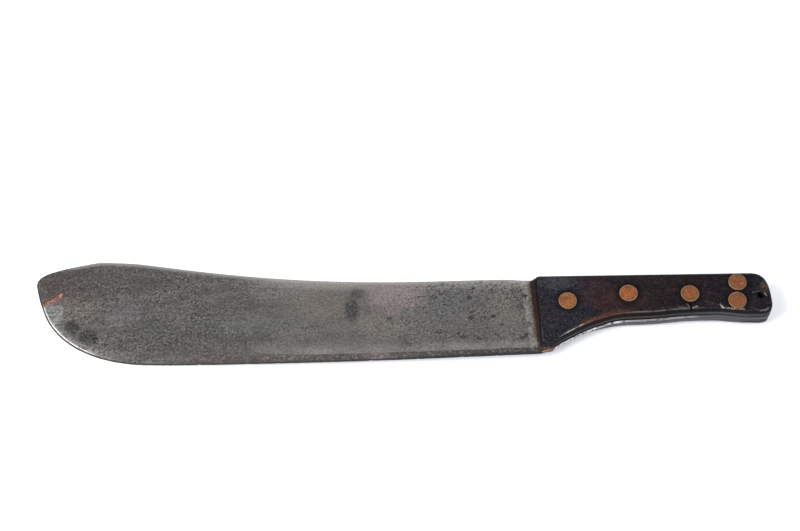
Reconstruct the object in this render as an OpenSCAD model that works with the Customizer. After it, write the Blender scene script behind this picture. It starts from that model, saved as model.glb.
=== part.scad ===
// An old farm machete: a steel blade with a full tang, two scales and five riveted washers.
// The origin is the middle of the lanyard hole. The blade points along -X, its cutting edge
// faces -Y, and the shown face of the blade looks along +Z.

/* [Blade] */
// Length of the blade from the front of the grip to the tip
blade_l = 345.9; // [250:0.1:420]
// Thickness of the tang and of the blade where it leaves the grip
tang_t = 3.2; // [2.6:0.1:5]
// Thickness of the blade at its tip
tip_t = 2.2; // [1.6:0.1:2.6]
// Depth of the cutting edge below the lanyard hole at the belly
edge_drop = 41.1; // [34:0.1:50]
// Depth of the cutting edge below the lanyard hole at the heel
heel_drop = 36.8; // [34:0.1:42]
// Length of the belly's curve from the tip to the straight edge
belly_l = 110.9; // [80:0.1:130]
// Slope of the cutting edge at the heel, in degrees
heel_tilt = 1.5; // [0:0.1:4]
// Rise of the edge from the grip's front to the middle of its foot
heel_rise = 1.5; // [0.5:0.1:2]
// Distance from the middle of the heel's corner back to the grip's curve
heel_reach = 2.4; // [2:0.1:4]
// Height by which the heel's corner steps down from the grip's foot
heel_step = 1.8; // [1.5:0.1:3]

/* [Spine and tip] */
// Height of the hollow of the spine above the lanyard hole
waist_rise = 18; // [14:0.1:22]
// Distance of the hollow of the spine in front of the grip
waist_run = 88.9; // [60:0.1:110]
// Height of the spine's peak above the lanyard hole
peak_rise = 37.7; // [32:0.1:44]
// Distance of the spine's peak behind the tip
peak_run = 40.2; // [35:0.1:60]
// Fall of the spine from its peak towards the tip, in degrees
peak_tilt = 6.7; // [0:0.1:8]
// Height of the round nose above the lanyard hole
nose_rise = 20.3; // [14:0.1:22]
// Distance of the clip's end behind the tip
clip_run = 7.9; // [6:0.1:12]
// Height of the clip's end above the nose
clip_rise = 9.6; // [7:0.1:11]

/* [Edge bevel] */
// Thickness left along the cutting edge
edge_t = 0.5; // [0.3:0.05:1]
// Width of the ground bevel at the heel
bevel_heel = 4.2; // [2:0.1:7]
// Width of the ground bevel along the straight edge
bevel_mid = 5.2; // [2:0.1:8]
// Width of the ground bevel where the belly begins
bevel_belly = 9.5; // [4:0.1:14]
// Share of the straight edge over which the bevel widens towards the belly
widening = 0.31; // [0.2:0.01:0.5]
// Width of the ground bevel round the nose
bevel_nose = 2; // [1:0.1:4]
// Width of the broken corner along the spine
spine_break = 0.35; // [0.2:0.05:0.6]

/* [Grip] */
// Distance from the lanyard hole to the front of the grip
grip_reach = 153; // [145:0.1:175]
// Thickness of the whole grip over both scales
grip_t = 23; // [17:0.1:30]
// Height of the straight back of the grip above the lanyard hole
back_rise = 18.6; // [17.4:0.1:22]
// Depth of the front foot of the grip below the lanyard hole
foot_drop = 31.8; // [29:0.1:34]
// Length of the flat foot behind the front of the grip
foot_l = 12; // [9:0.1:16]
// Slope of the grip's belly where it leaves the foot, in degrees
foot_slope = 29; // [24:0.5:34]
// Depth of the grip's belly where the foot's curve ends
hollow_drop = 12.4; // [11:0.1:15]
// Distance from the lanyard hole to the end of the foot's curve
hollow_run = 88; // [80:0.1:95]
// Depth of the grip's belly at its waist
grip_waist_drop = 9.8; // [9:0.1:12]
// Distance from the lanyard hole to the grip's waist
grip_waist_run = 38; // [32:0.1:48]
// Depth of the swell under the butt
swell_drop = 12.7; // [12:0.1:16]
// Distance from the lanyard hole to the lowest point of the swell
swell_run = 5; // [2:0.1:9]
// Distance from the lanyard hole to the end of the butt
butt_reach = 7.7; // [6:0.1:12]
// Height by which the butt's furthest point lies below the lanyard hole
butt_drop = 4; // [1:0.1:6]
// Distance from the lanyard hole to the start of the butt's upper curve
crown_run = 6.3; // [5:0.1:12]

/* [Scale edges] */
// Radius along the back of both scales
back_round = 5; // [2:0.1:6]
// Radius along the belly of the left scale
belly_round_left = 1.1; // [0.6:0.1:4.5]
// Radius along the belly of the right scale
belly_round_right = 4.5; // [0.6:0.1:5]
// Radius along the swell of the right scale
swell_round_right = 3.5; // [0.6:0.1:3.8]
// Length by which the foot of the right scale is worn shorter
foot_wear = 6; // [0:0.1:7]
// Depth by which the swell of the right scale is worn away
swell_wear = 0.8; // [0:0.1:0.8]
// Radius round the butt
butt_round = 3; // [1:0.1:4]
// Radius along the top of the front face
front_round = 1; // [0.5:0.1:2]
// Set-back of the front face at the back of the grip
lean_back = 3.6; // [1:0.1:5]
// Set-back of the front face at the foot of the grip
lean_foot = 1.2; // [0.5:0.1:3]
// Distance by which the front face reaches forward at the back of the grip
front_slant = 4.4; // [2:0.1:6]
// Plan radius of the front corner at the back
front_corner = 4.5; // [3:0.1:6]
// Plan radius of the front corner at the foot
foot_corner = 1.8; // [1:0.1:3]

/* [Rivets] */
// Diameter of the flat head
head_d = 12.8; // [10:0.1:13.5]
// Thickness of the head
head_t = 1.6; // [1:0.1:2.5]
// Height by which the heads stand proud of the left scale
head_proud = 0.12; // [0:0.01:0.3]
// Width of the worn rim round the head
head_rim = 0.45; // [0.2:0.05:1]
// Diameter of the shank
shank_d = 4.8; // [4:0.1:6]
// Diameter of the peened tail
tail_d = 8; // [7:0.1:8.5]
// Height of the peened tail above its burr
tail_h = 0.9; // [0.5:0.1:1.5]
// Distance of the front rivet behind the front of the grip
front_inset = 20.2; // [14:0.1:26]
// Depth of the front rivet below the lanyard hole
front_drop = 2.2; // [0:0.1:6]
// Height of the second rivet above the lanyard hole, half way between the front and the third
second_rise = 2.9; // [0:0.1:5]
// Distance from the lanyard hole to the third rivet
third_run = 48.6; // [40:0.1:60]
// Height of the third rivet above the lanyard hole
third_rise = 1.9; // [0:0.1:5]
// Distance from the lanyard hole to the rear pair of rivets
rear_run = 15.9; // [14.5:0.1:24]
// Difference along the grip between the two rear rivets
rear_stagger = 1.4; // [0:0.1:2]
// Height of the upper rear rivet above the lanyard hole
rear_upper_rise = 10.1; // [9.9:0.1:10.6]
// Depth of the lower rear rivet below the lanyard hole
rear_lower_drop = 3.8; // [3.4:0.1:4.1]

/* [Burrs] */
// Diameter of the burr, the washer under a peened tail
burr_d = 11.4; // [9:0.1:11.6]
// Thickness of the burr
burr_t = 1.2; // [0.8:0.1:1.8]
// Depth by which a peened tail lies below the right scale's face
tail_sunk = 0.15; // [0.1:0.01:0.5]

/* [Lanyard hole] */
// Diameter of the lanyard hole
lanyard_d = 4.8; // [4:0.1:6]
// Depth of the worn mouth of the lanyard hole
mouth_h = 0.8; // [0.4:0.1:1.5]
// Width of the worn mouth round the hole
mouth_w = 1; // [0.5:0.1:1.5]

/* [Clearances] */
// Radial clearance of a shank in its holes
shank_gap = 0.1; // [0.05:0.01:0.3]
// Radial clearance of a head or burr in its counterbore
seat_gap = 0.1; // [0.05:0.01:0.3]

/* [Smoothness] */
// Spacing of the points along the curved outlines
spacing = 4; // [2:0.5:8]
// Spacing of the points along the straight stretches of the outlines
straight_spacing = 20; // [10:1:25]
// Steps round each rounded edge of the scales
round_steps = 5; // [3:1:8]

/* [Hidden] */
$fn = 64;

// Colours of the steel, the scales and the copper
steel = [0.36, 0.35, 0.34];
dark_wood = [0.10, 0.08, 0.08];
copper = [0.60, 0.37, 0.22];

// Half thicknesses and heights measured from the middle of the tang
tang_half = tang_t / 2;
grip_half = grip_t / 2;
scale_t = grip_half - tang_half;

// Places along the blade
tip_x = -grip_reach - blade_l;
belly_x = tip_x + belly_l;
mid_x = belly_x + widening * (-grip_reach - belly_x);
mid_drop = edge_drop - widening * widening * (edge_drop - heel_drop);
peak_x = tip_x + peak_run;
waist_x = -grip_reach - waist_run;

// Places of the rivets, from the front of the grip to the butt
at_front = [front_inset - grip_reach, -front_drop];
at_third = [-third_run, third_rise];
at_second = [(at_front[0] + at_third[0]) / 2, second_rise];
at_rear_upper = [-rear_run + rear_stagger / 2, rear_upper_rise];
at_rear_lower = [-rear_run - rear_stagger / 2, -rear_lower_drop];
rivet_places = [at_front, at_second, at_third, at_rear_upper, at_rear_lower];

// A cut runs this far past the face that it leaves
past = 1;

// Fewest steps along a curved stretch of an outline
min_steps = 6;

// Degrees by which each millimetre of wear at the foot flattens the curve behind it
ease = 0.3;

// An outline is a ring of knots, counterclockwise from above. A knot is
// [x, y, heading, share before, share after, width, height]: the heading is the direction of the
// outline there in degrees, and the shares say how far the heading is followed on either side,
// as parts of the distance to the next knot. Two shares of 0 give a straight stretch. The width
// and the height belong to the solid's edge and change evenly from knot to knot.
function chord(a, b) = norm([b[0] - a[0], b[1] - a[1]]);
function is_straight(a, b) = a[4] == 0 && b[3] == 0;
function steps_of(a, b) = is_straight(a, b)
    ? ceil(chord(a, b) / straight_spacing)
    : max(min_steps, round(chord(a, b) / spacing));
function steps_round(knots) =
    [for (i = [0:len(knots) - 1]) steps_of(knots[i], knots[(i + 1) % len(knots)])];
function ahead(k, reach) = [k[0] + reach * cos(k[2]), k[1] + reach * sin(k[2])];
function cubic(a, b, c, d, t) =
    pow(1 - t, 3) * a + 3 * t * pow(1 - t, 2) * b + 3 * t * t * (1 - t) * c + t * t * t * d;
function stretch(a, b, steps) =
    let (span = chord(a, b), out = ahead(a, a[4] * span), back = ahead(b, -b[3] * span))
    [for (j = [0:steps - 1])
        let (t = j / steps, p = cubic([a[0], a[1]], out, back, [b[0], b[1]], t))
        [p[0], p[1], a[5] + (b[5] - a[5]) * t, a[6] + (b[6] - a[6]) * t]];
function outline(knots, steps) =
    [for (i = [0:len(knots) - 1]) each stretch(knots[i], knots[(i + 1) % len(knots)], steps[i])];

// The sum of the first entries of a list
function sum_of(list, count) = count == 0 ? 0 : list[count - 1] + sum_of(list, count - 1);

// The triangles that close a ring, as a strip between its two long sides. The strip runs from
// one gate to the next, where a gate is a place on the first side and the one across from it,
// and at each step the side that lags behind along the length is taken forward.
function strip(ring, from, to) =
    let (a = from[0], b = from[1], a_done = a == to[0], b_done = b == to[1])
    a_done && b_done ? [] :
    let (first = b_done || (!a_done && ring[a + 1][0] <= ring[b - 1][0]))
    concat([first ? [a, a + 1, b] : [a, b - 1, b]],
        strip(ring, first ? [a + 1, b] : [a, b - 1], to));

// The solid between a stack of rings with the same number of points each, from the lowest up
module skin(rings, gates) {
    count = len(rings[0]);
    above = (len(rings) - 1) * count;
    sides = [for (k = [0:len(rings) - 2], i = [0:count - 1])
        let (j = (i + 1) % count, low = k * count, high = low + count)
        each [[low + i, high + i, high + j], [low + i, high + j, low + j]]];
    bottom = [for (i = [0:len(gates) - 2]) each strip(rings[0], gates[i], gates[i + 1])];
    top = [for (face = bottom) [above + face[2], above + face[1], above + face[0]]];
    polyhedron(
        points = [for (ring = rings) each ring],
        faces = concat(bottom, top, sides),
        convexity = 6);
}

// The underside that the tang and both scales share, from the foot to the end of the butt. The
// lists in and w hold how far it is drawn in and the width there: along the belly, at the swell
// and round the butt. The list wear holds how much shorter its foot is and how much flatter its
// swell.
function underside(in, w, h, wear) = [
    [foot_l - wear[0] - grip_reach, in[0] - foot_drop, foot_slope - wear[0] * ease,
        0.3, 0.57, w[0], h],
    [-hollow_run, in[0] - hollow_drop, 1, 0.3, 0.5, w[0], h],
    [-grip_waist_run, in[0] - grip_waist_drop, 0, 0.45, 0.5, w[0], h],
    [-swell_run, in[1] + wear[1] - swell_drop, -1, 0.5, 0.6, w[1], h],
    [butt_reach - in[2], -butt_drop, 92, 0.55, 0.55, w[2], h]];

// The blade's outline, with the broken corner of its spine and the bevel of its cutting edge. A
// knot's width is that of the bevel, and its height is 0 on the ground edge and 1 on full stock.
// Each knot is moved inwards, square to its heading, by share times its bevel width.
function moved_in(k, share) = concat(
    [k[0] - share * k[5] * sin(k[2]), k[1] + share * k[5] * cos(k[2])],
    [k[2], k[3], k[4], k[5], k[6]]);
function edge_knots() = [
    [tip_x, nose_rise, 280.5, 0.45, 0.5, bevel_nose, 0],
    [belly_x, -edge_drop, 0, 0.31, 0.4, bevel_belly, 0],
    [mid_x, -mid_drop, 0.4 * heel_tilt, 0.4, 0.4, bevel_mid, 0],
    [-grip_reach + bevel_heel * sin(heel_tilt), -heel_drop, heel_tilt, 0.4, 0.3, bevel_heel, 0],
    [-grip_reach + foot_l / 2, heel_rise - heel_drop, 10, 0.3, 0.4, bevel_heel / 2, 0.3],
    [-grip_reach + foot_l - heel_reach, -foot_drop - heel_step, 48, 0.45, 0.4, spine_break, 1]];
function tang_knots() = concat(
    underside([0, 0, 0], [spine_break, spine_break, spine_break], 1, [0, 0]),
    [[-crown_run, back_rise, 180, 0.42, 0, spine_break, 1]]);
function spine_knots() = [
    [-grip_reach, back_rise, 180, 0, 0.6, spine_break, 1],
    [waist_x, waist_rise, 180, 0.3, 0.57, spine_break, 1],
    [peak_x, peak_rise, 180 + peak_tilt, 0.11, 0.05, spine_break, 1],
    [tip_x + clip_run, nose_rise + clip_rise, 202, 0.31, 0.3, 2 * spine_break, 1]];
function blade_knots(share) =
    [for (k = concat(edge_knots(), tang_knots(), spine_knots())) moved_in(k, share)];

// Half the thickness of the stock at x: even over the tang, and thinner towards the tip
function stock_half(x) = tang_half - max(0, -grip_reach - x) * (tang_t - tip_t) / 2 / blade_l;
function rim_half(x, full) = edge_t / 2 + full * (stock_half(x) - spine_break - edge_t / 2);

// The faces fold across the stock where the taper starts, between the heel and the spine
module blade_blank() {
    steps = steps_round(blade_knots(0));
    rim = outline(blade_knots(0), steps);
    flat = outline(blade_knots(1), steps);
    heel = sum_of(steps, len(edge_knots()) - 3);
    butt = sum_of(steps, len(edge_knots()) + len(tang_knots()) - 2);
    spine = sum_of(steps, len(edge_knots()) + len(tang_knots()));
    skin(
        [[for (p = flat) [p[0], p[1], -stock_half(p[0])]],
         [for (p = rim) [p[0], p[1], -rim_half(p[0], p[3])]],
         [for (p = rim) [p[0], p[1], rim_half(p[0], p[3])]],
         [for (p = flat) [p[0], p[1], stock_half(p[0])]]],
        [[0, len(rim) - 1], [heel, spine], [butt, butt + 1]]);
}

// Holes for the rivets and the lanyard, square through the whole grip
module shank_holes() {
    for (at = rivet_places)
        translate([at[0], at[1], -grip_half - past])
            cylinder(d = shank_d + 2 * shank_gap, h = grip_t + 2 * past);
}

module lanyard_hole() {
    translate([0, 0, -grip_half - past])
        cylinder(d = lanyard_d, h = grip_t + 2 * past);
}

module blade() {
    color(steel)
        difference() {
            blade_blank();
            shank_holes();
            lanyard_hole();
        }
}

// A scale's outline at one level of its rounded edge. The angle runs from 0 where the rounding
// starts to 90 on the flat face, and the seam with the tang has an angle below 0. The rounds are
// the radii along the belly, at the swell and round the butt.
function drawn_in(r, angle) = angle < 0 ? 0 : r * (1 - cos(angle));
function height_at(r, angle) = angle < 0 ? 0 : scale_t - r * (1 - sin(angle));
function set_back(lean, angle) =
    lean * height_at(front_round, angle) / scale_t + drawn_in(front_round, angle);
function scale_knots(rounds, wear, angle) = let (
        in = [for (r = rounds) drawn_in(r, angle)],
        back_y = back_rise - drawn_in(back_round, angle),
        foot_y = in[0] - foot_drop,
        top_x = set_back(lean_back, angle) - grip_reach - front_slant,
        foot_x = set_back(lean_foot, angle) - grip_reach,
        tilt = atan2(foot_y - back_y, foot_x - top_x),
        corner_run = front_corner * (foot_x - top_x) / (back_y - foot_y))
    concat(
        [[foot_x, foot_y + foot_corner, tilt, 0, 0.55, front_round, 0],
         [foot_x + foot_corner, foot_y - foot_corner / 3, 0, 0.55, 0.5, rounds[0], 0]],
        underside(in, rounds, 0, wear),
        [[-crown_run, back_y, 180, 0.42, 0, back_round, 0],
         [top_x + front_corner, back_y, 180, 0, 0.55, back_round, 0],
         [top_x + corner_run, back_y - front_corner, tilt, 0.55, 0, front_round, 0]]);

// A scale without its holes, lying on the seam and rising to its flat face
module scale_blank(rounds, wear) {
    steps = steps_round(scale_knots(rounds, wear, -1));
    angles = concat([-1], [for (i = [0:round_steps]) 90 * i / round_steps]);
    butt = sum_of(steps, len(steps) - 4);
    skin(
        [for (angle = angles)
            [for (p = outline(scale_knots(rounds, wear, angle), steps))
                [p[0], p[1], tang_half + height_at(p[2], angle)]]],
        [[0, sum_of(steps, len(steps)) - 1], [butt, butt + 1]]);
}

// Counterbores that open on a flat face, looking along +Z
module counterbores(d, depth) {
    for (at = rivet_places)
        translate([at[0], at[1], grip_half - depth])
            cylinder(d = d + 2 * seat_gap, h = depth + past);
}

// The worn mouth of the lanyard hole
module worn_mouth() {
    slope = mouth_w / mouth_h;
    translate([0, 0, grip_half - mouth_h])
        cylinder(r1 = lanyard_d / 2, r2 = lanyard_d / 2 + slope * (mouth_h + past), h = mouth_h + past);
}

module grip_scale_left() {
    color(dark_wood)
        difference() {
            scale_blank([belly_round_left, belly_round_left, butt_round], [0, 0]);
            counterbores(head_d, head_t);
            shank_holes();
            lanyard_hole();
            worn_mouth();
        }
}

module grip_scale_right() {
    color(dark_wood)
        difference() {
            mirror([0, 0, 1])
                scale_blank([belly_round_right, swell_round_right, butt_round],
                    [foot_wear, swell_wear]);
            mirror([0, 0, 1]) {
                counterbores(burr_d, burr_t + tail_h + tail_sunk);
                worn_mouth();
            }
            shank_holes();
            lanyard_hole();
        }
}

// A rivet about its own axis: head in the left scale, shank through the grip, peened tail
// outside the burr. The heights are those of the assembled grip.
head_top = grip_half + head_proud;
head_seat = grip_half - head_t;
tail_top = tail_sunk - grip_half;
burr_face = tail_top + tail_h;

module rivet_turned() {
    head_r = head_d / 2;
    shank_r = shank_d / 2;
    tail_r = tail_d / 2;
    head = [[0, head_top], [head_r - head_rim, head_top], [head_r, head_top - head_rim / 2],
        [head_r, head_seat]];
    shank = [[shank_r, head_seat], [shank_r, burr_face]];
    dome = [for (angle = [0:22.5:90]) [tail_r * cos(angle), burr_face - tail_h * sin(angle)]];
    rotate_extrude()
        polygon(concat(head, shank, dome));
}

// What is left of the grip's section after its back has been filed round. A rivet head that
// reaches into the rounded back is filed with it.
module filed_back() {
    long = 2 * head_d;
    round_y = back_rise - back_round;
    round_z = grip_half + head_proud - back_round;
    translate([at_rear_upper[0] - head_d, round_y - 2 * grip_t, -grip_t])
        cube([long, 2 * grip_t, 2 * grip_t]);
    translate([at_rear_upper[0] - head_d, round_y - past, -grip_t])
        cube([long, back_round + past, grip_t + round_z]);
    translate([at_rear_upper[0] - head_d, round_y, round_z])
        rotate([0, 90, 0])
            cylinder(r = back_round, h = long);
}

module rivet(at) {
    color(copper)
        translate([at[0], at[1], 0])
            rivet_turned();
}

module rivet_front() {
    rivet(at_front);
}

module rivet_middle_front() {
    rivet(at_second);
}

module rivet_middle_rear() {
    rivet(at_third);
}

module rivet_rear_upper() {
    color(copper)
        intersection() {
            translate([at_rear_upper[0], at_rear_upper[1], 0])
                rivet_turned();
            filed_back();
        }
}

module rivet_rear_lower() {
    rivet(at_rear_lower);
}

// A burr, seated in the right scale under the peened tail of its rivet
module burr(at) {
    color(copper)
        translate([at[0], at[1], burr_face])
            difference() {
                cylinder(d = burr_d, h = burr_t);
                translate([0, 0, -past])
                    cylinder(d = shank_d + 2 * shank_gap, h = burr_t + 2 * past);
            }
}

module burr_front() {
    burr(at_front);
}

module burr_middle_front() {
    burr(at_second);
}

module burr_middle_rear() {
    burr(at_third);
}

module burr_rear_upper() {
    burr(at_rear_upper);
}

module burr_rear_lower() {
    burr(at_rear_lower);
}

blade();
grip_scale_left();
grip_scale_right();
rivet_front();
rivet_middle_front();
rivet_middle_rear();
rivet_rear_upper();
rivet_rear_lower();
burr_front();
burr_middle_front();
burr_middle_rear();
burr_rear_upper();
burr_rear_lower();
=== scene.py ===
"""Looks of an old farm machete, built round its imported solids.

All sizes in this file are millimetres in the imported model's frame, and meshes are written in
metres. The origin is the middle of the lanyard hole, the blade points along -X, its cutting edge
faces -Y, and the shown face looks along +Z.
"""

import logging
import math
from dataclasses import dataclass, replace
from enum import Enum
from functools import reduce
from typing import Sequence

import bmesh
import bpy
import numpy as np
from mathutils import Matrix, Vector
from mathutils.geometry import delaunay_2d_cdt


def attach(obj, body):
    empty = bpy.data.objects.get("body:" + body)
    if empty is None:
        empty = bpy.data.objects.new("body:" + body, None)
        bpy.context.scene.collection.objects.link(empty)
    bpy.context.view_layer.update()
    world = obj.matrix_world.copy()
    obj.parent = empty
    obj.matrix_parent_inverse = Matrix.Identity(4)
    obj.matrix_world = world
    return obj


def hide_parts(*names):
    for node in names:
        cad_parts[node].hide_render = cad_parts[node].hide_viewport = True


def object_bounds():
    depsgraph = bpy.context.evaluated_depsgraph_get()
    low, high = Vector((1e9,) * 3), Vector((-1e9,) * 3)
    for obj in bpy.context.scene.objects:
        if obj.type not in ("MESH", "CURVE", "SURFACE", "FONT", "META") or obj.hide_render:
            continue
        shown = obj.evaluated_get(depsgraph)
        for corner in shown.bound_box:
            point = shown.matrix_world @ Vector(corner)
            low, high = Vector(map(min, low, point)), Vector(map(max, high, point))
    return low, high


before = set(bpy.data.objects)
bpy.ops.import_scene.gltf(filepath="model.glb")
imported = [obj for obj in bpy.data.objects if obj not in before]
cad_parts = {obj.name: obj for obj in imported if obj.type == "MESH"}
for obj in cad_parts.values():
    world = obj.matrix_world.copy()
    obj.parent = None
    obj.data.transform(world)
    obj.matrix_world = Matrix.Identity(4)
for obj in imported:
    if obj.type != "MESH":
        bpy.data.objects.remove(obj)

CAD_BOX = [list(corner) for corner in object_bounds()]
LOG = logging.getLogger("machete")
MM = 0.001
BODY = "root"
Array = np.ndarray
Point = tuple[float, float, float]


# Outlines and surfaces


@dataclass(frozen=True)
class Knot:
    """A point that an outline passes through.

    The heading is the outline's direction there in degrees, and before and after say how far it
    is followed on either side, as shares of the distance to the next knot. The width and height
    belong to the edge of the solid and change evenly from knot to knot.
    """

    x: float
    y: float
    heading: float
    before: float
    after: float
    width: float = 0.0
    height: float = 0.0

    def ahead(self, reach: float) -> Array:
        """The point that lies reach further along the heading."""
        turn = math.radians(self.heading)
        return np.array([self.x + reach * math.cos(turn), self.y + reach * math.sin(turn)])

    def moved_in(self) -> "Knot":
        """The knot moved inwards by its width, square to its heading.

        Returns:
            The moved knot.
        """
        turn = math.radians(self.heading)
        return replace(
            self,
            x=self.x - self.width * math.sin(turn),
            y=self.y + self.width * math.cos(turn),
        )


def span_between(a: Knot, b: Knot) -> float:
    """The distance between two knots."""
    return math.hypot(b.x - a.x, b.y - a.y)


def steps_along(knots: Sequence[Knot], spacing: float) -> list[int]:
    """How many steps each stretch of a closed outline takes at about the given spacing."""
    after = [*knots[1:], knots[0]]
    return [max(6, round(span_between(a, b) / spacing)) for a, b in zip(knots, after)]


def traced(knots: Sequence[Knot], steps: Sequence[int]) -> Array:
    """Points round a closed outline, as rows of x, y, width and height.

    Each stretch is the cubic (1-t)^3 a + 3t(1-t)^2 b + 3t^2(1-t) c + t^3 d between two knots a
    and d, where b and c lie on their headings. A stretch with two shares of 0 is straight.

    Args:
        knots: the outline's knots, counterclockwise from above.
        steps: the number of steps from each knot to the next.

    Returns:
        An array with one row per point.
    """
    rows = []
    for a, d, count in zip(knots, [*knots[1:], knots[0]], steps):
        t = (np.arange(count) / count)[:, None]
        start, end = np.array([a.x, a.y]), np.array([d.x, d.y])
        span = span_between(a, d)
        if a.after == 0 and d.before == 0:
            place = start + t * (end - start)
        else:
            b, c = a.ahead(a.after * span), d.ahead(-d.before * span)
            place = (
                (1 - t) ** 3 * start
                + 3 * t * (1 - t) ** 2 * b
                + 3 * t**2 * (1 - t) * c
                + t**3 * end
            )
        edge = np.array([[a.width, a.height]]) * (1 - t) + np.array([[d.width, d.height]]) * t
        rows.append(np.hstack([place, edge]))
    return np.concatenate(rows)


def inward(ring: Array) -> Array:
    """Unit vectors that point into a counterclockwise ring, square to it at each point.

    Args:
        ring: the ring's points, as rows of x and y.

    Returns:
        One unit vector per point.
    """
    along = np.roll(ring, -1, 0) - np.roll(ring, 1, 0)
    along = along / np.linalg.norm(along, axis=1, keepdims=True)
    return np.column_stack([-along[:, 1], along[:, 0]])


def ring_distance(points: Array, ring: Array) -> tuple[Array, Array, Array]:
    """How far points in the plan lie from a closed ring.

    Args:
        points: rows of x and y.
        ring: the ring's points, as rows of x and y.

    Returns:
        The distances, the nearest ring points as places in the ring, and which points are inside.
    """
    start, end = ring, np.roll(ring, -1, 0)
    along = end - start
    length = (along**2).sum(1)
    far, near, within = [], [], []
    for part in np.array_split(points, max(1, len(points) // 2500)):
        gap = part[:, None] - start
        share = np.clip((gap * along).sum(2) / length, 0, 1)
        apart = np.linalg.norm(gap - share[..., None] * along, axis=2)
        best = apart.argmin(1)
        far.append(apart[np.arange(len(part)), best])
        near.append((best + (share[np.arange(len(part)), best] > 0.5)) % len(ring))
        y = part[:, 1][:, None]
        crosses = (start[:, 1] > y) != (end[:, 1] > y)
        rise = np.where(along[:, 1] == 0, 1, along[:, 1])
        at = start[:, 0] + (y - start[:, 1]) * along[:, 0] / rise
        within.append((crosses & (at > part[:, 0][:, None])).sum(1) % 2 == 1)
    return np.concatenate(far), np.concatenate(near), np.concatenate(within)


def filled(rings: Sequence[Array], pitch: float) -> tuple[Array, Array]:
    """Triangles that fill the first ring and leave the round rings after it open.

    The inner points form a hexagonal lattice: rows 0.87 pitch apart, each shifted by half a pitch
    from the one below. The triangles are Delaunay triangles that keep every ring.

    Args:
        rings: the outer ring and then the rims of the holes, as rows of x and y.
        pitch: the spacing of the lattice.

    Returns:
        The points, with the rings' own points first and in order, and the triangles.
    """
    low, high = rings[0].min(0), rings[0].max(0)
    rows = np.arange(low[1], high[1], pitch * math.sqrt(0.75))
    x, y = np.meshgrid(np.arange(low[0], high[0], pitch), rows)
    x = x + (np.arange(len(rows)) % 2)[:, None] * pitch / 2
    lattice = np.column_stack([x.ravel(), y.ravel()])
    apart, _, within = ring_distance(lattice, rings[0])
    keep = within & (apart > 0.6 * pitch)
    centres = [ring.mean(0) for ring in rings[1:]]
    radii = [np.linalg.norm(ring - at, axis=1).mean() for ring, at in zip(rings[1:], centres)]
    for centre, radius in zip(centres, radii):
        keep &= np.linalg.norm(lattice - centre, axis=1) > radius + 0.6 * pitch
    points = np.concatenate([*rings, lattice[keep]])
    loops, start = [], 0
    for ring in rings:
        places = np.arange(len(ring))
        loops.append(np.column_stack([places, (places + 1) % len(ring)]) + start)
        start += len(ring)
    found = delaunay_2d_cdt(points.tolist(), np.concatenate(loops).tolist(), [], 1, 1e-7)
    source = np.array([places[0] for places in found[3]])
    faces = source[np.array(found[2])]
    middle = points[faces].mean(1)
    for centre, radius in zip(centres, radii):
        outside = np.linalg.norm(middle - centre, axis=1) > radius * 0.995
        faces, middle = faces[outside], middle[outside]
    a, b, c = (points[faces[:, k]] for k in range(3))
    turn = (b[:, 0] - a[:, 0]) * (c[:, 1] - a[:, 1]) - (b[:, 1] - a[:, 1]) * (c[:, 0] - a[:, 0])
    faces[turn < 0] = faces[turn < 0][:, ::-1]
    return points, faces


def ripples(points: Array, wavelength: float, seed: int, waves: int = 14) -> Array:
    """A smooth uneven height between about -1 and 1 at each point.

    It is a sum of cosine waves in random directions, whose lengths lie between 0.6 and 1.8 times
    the given one.

    Args:
        points: rows of coordinates.
        wavelength: the usual length of a wave.
        seed: gives the ripples their shape.
        waves: how many waves are added up.

    Returns:
        One height per point.
    """
    draw = np.random.default_rng(seed)
    ways = draw.normal(size=(waves, points.shape[1]))
    ways /= np.linalg.norm(ways, axis=1, keepdims=True)
    ways *= 2 * math.pi / (wavelength * draw.uniform(0.6, 1.8, (waves, 1)))
    high = np.cos(points @ ways.T + draw.uniform(0, 2 * math.pi, waves)).sum(1)
    return high / math.sqrt(waves) / 1.5


def dents(points: Array, rows: Sequence[tuple[float, ...]], tall: float = 1.0) -> Array:
    """The depth of soft dents at each point, as the sum of depth e^-(d / radius)^2 over them.

    Args:
        points: rows that start with x and y.
        rows: each dent's x, y, radius and depth.
        tall: how much faster a dent falls off along Y than along X.

    Returns:
        One depth per point.
    """
    x, y = points[:, 0], points[:, 1]
    gaps = [(np.hypot(x - a, (y - b) * tall) / radius, depth) for a, b, radius, depth in rows]
    return sum(depth * np.exp(-(gap**2)) for gap, depth in gaps)


def circle(centre: Sequence[float], radius: float, count: int) -> Array:
    """Points round a circle in the plan, counterclockwise, as rows of x and y."""
    turn = np.arange(count) * 2 * math.pi / count
    return np.array(centre)[:2] + radius * np.column_stack([np.cos(turn), np.sin(turn)])


def smooth(value: Array, low: float, high: float) -> Array:
    """A soft step from 0 at low to 1 at high."""
    t = np.clip((value - low) / (high - low), 0, 1)
    return t * t * (3 - 2 * t)


def raised(ring: Array, z: Array | float) -> Array:
    """A ring in the plan lifted to a height, or to one height per point."""
    return np.column_stack([ring, np.broadcast_to(z, len(ring))])


def turned(section: Array, at: Sequence[float], shrink: Array) -> Array:
    """Rings that a section makes when it turns about an upright axis.

    A point of the section (r, z) goes to (r k cos a, r k sin a, z) from the axis, where k is 1
    less the share that belongs to the angle a.

    Args:
        section: rows of radius and height.
        at: the axis in the plan.
        shrink: the share by which the ring is drawn in, at each of its points.

    Returns:
        The rings, one per row of the section.
    """
    angle = np.arange(len(shrink)) * 2 * math.pi / len(shrink)
    reach = section[:, :1] * (1 - shrink)
    x, y = at[0] + reach * np.cos(angle), at[1] + reach * np.sin(angle)
    return np.stack([x, y, np.broadcast_to(section[:, 1:], x.shape)], -1)


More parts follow.
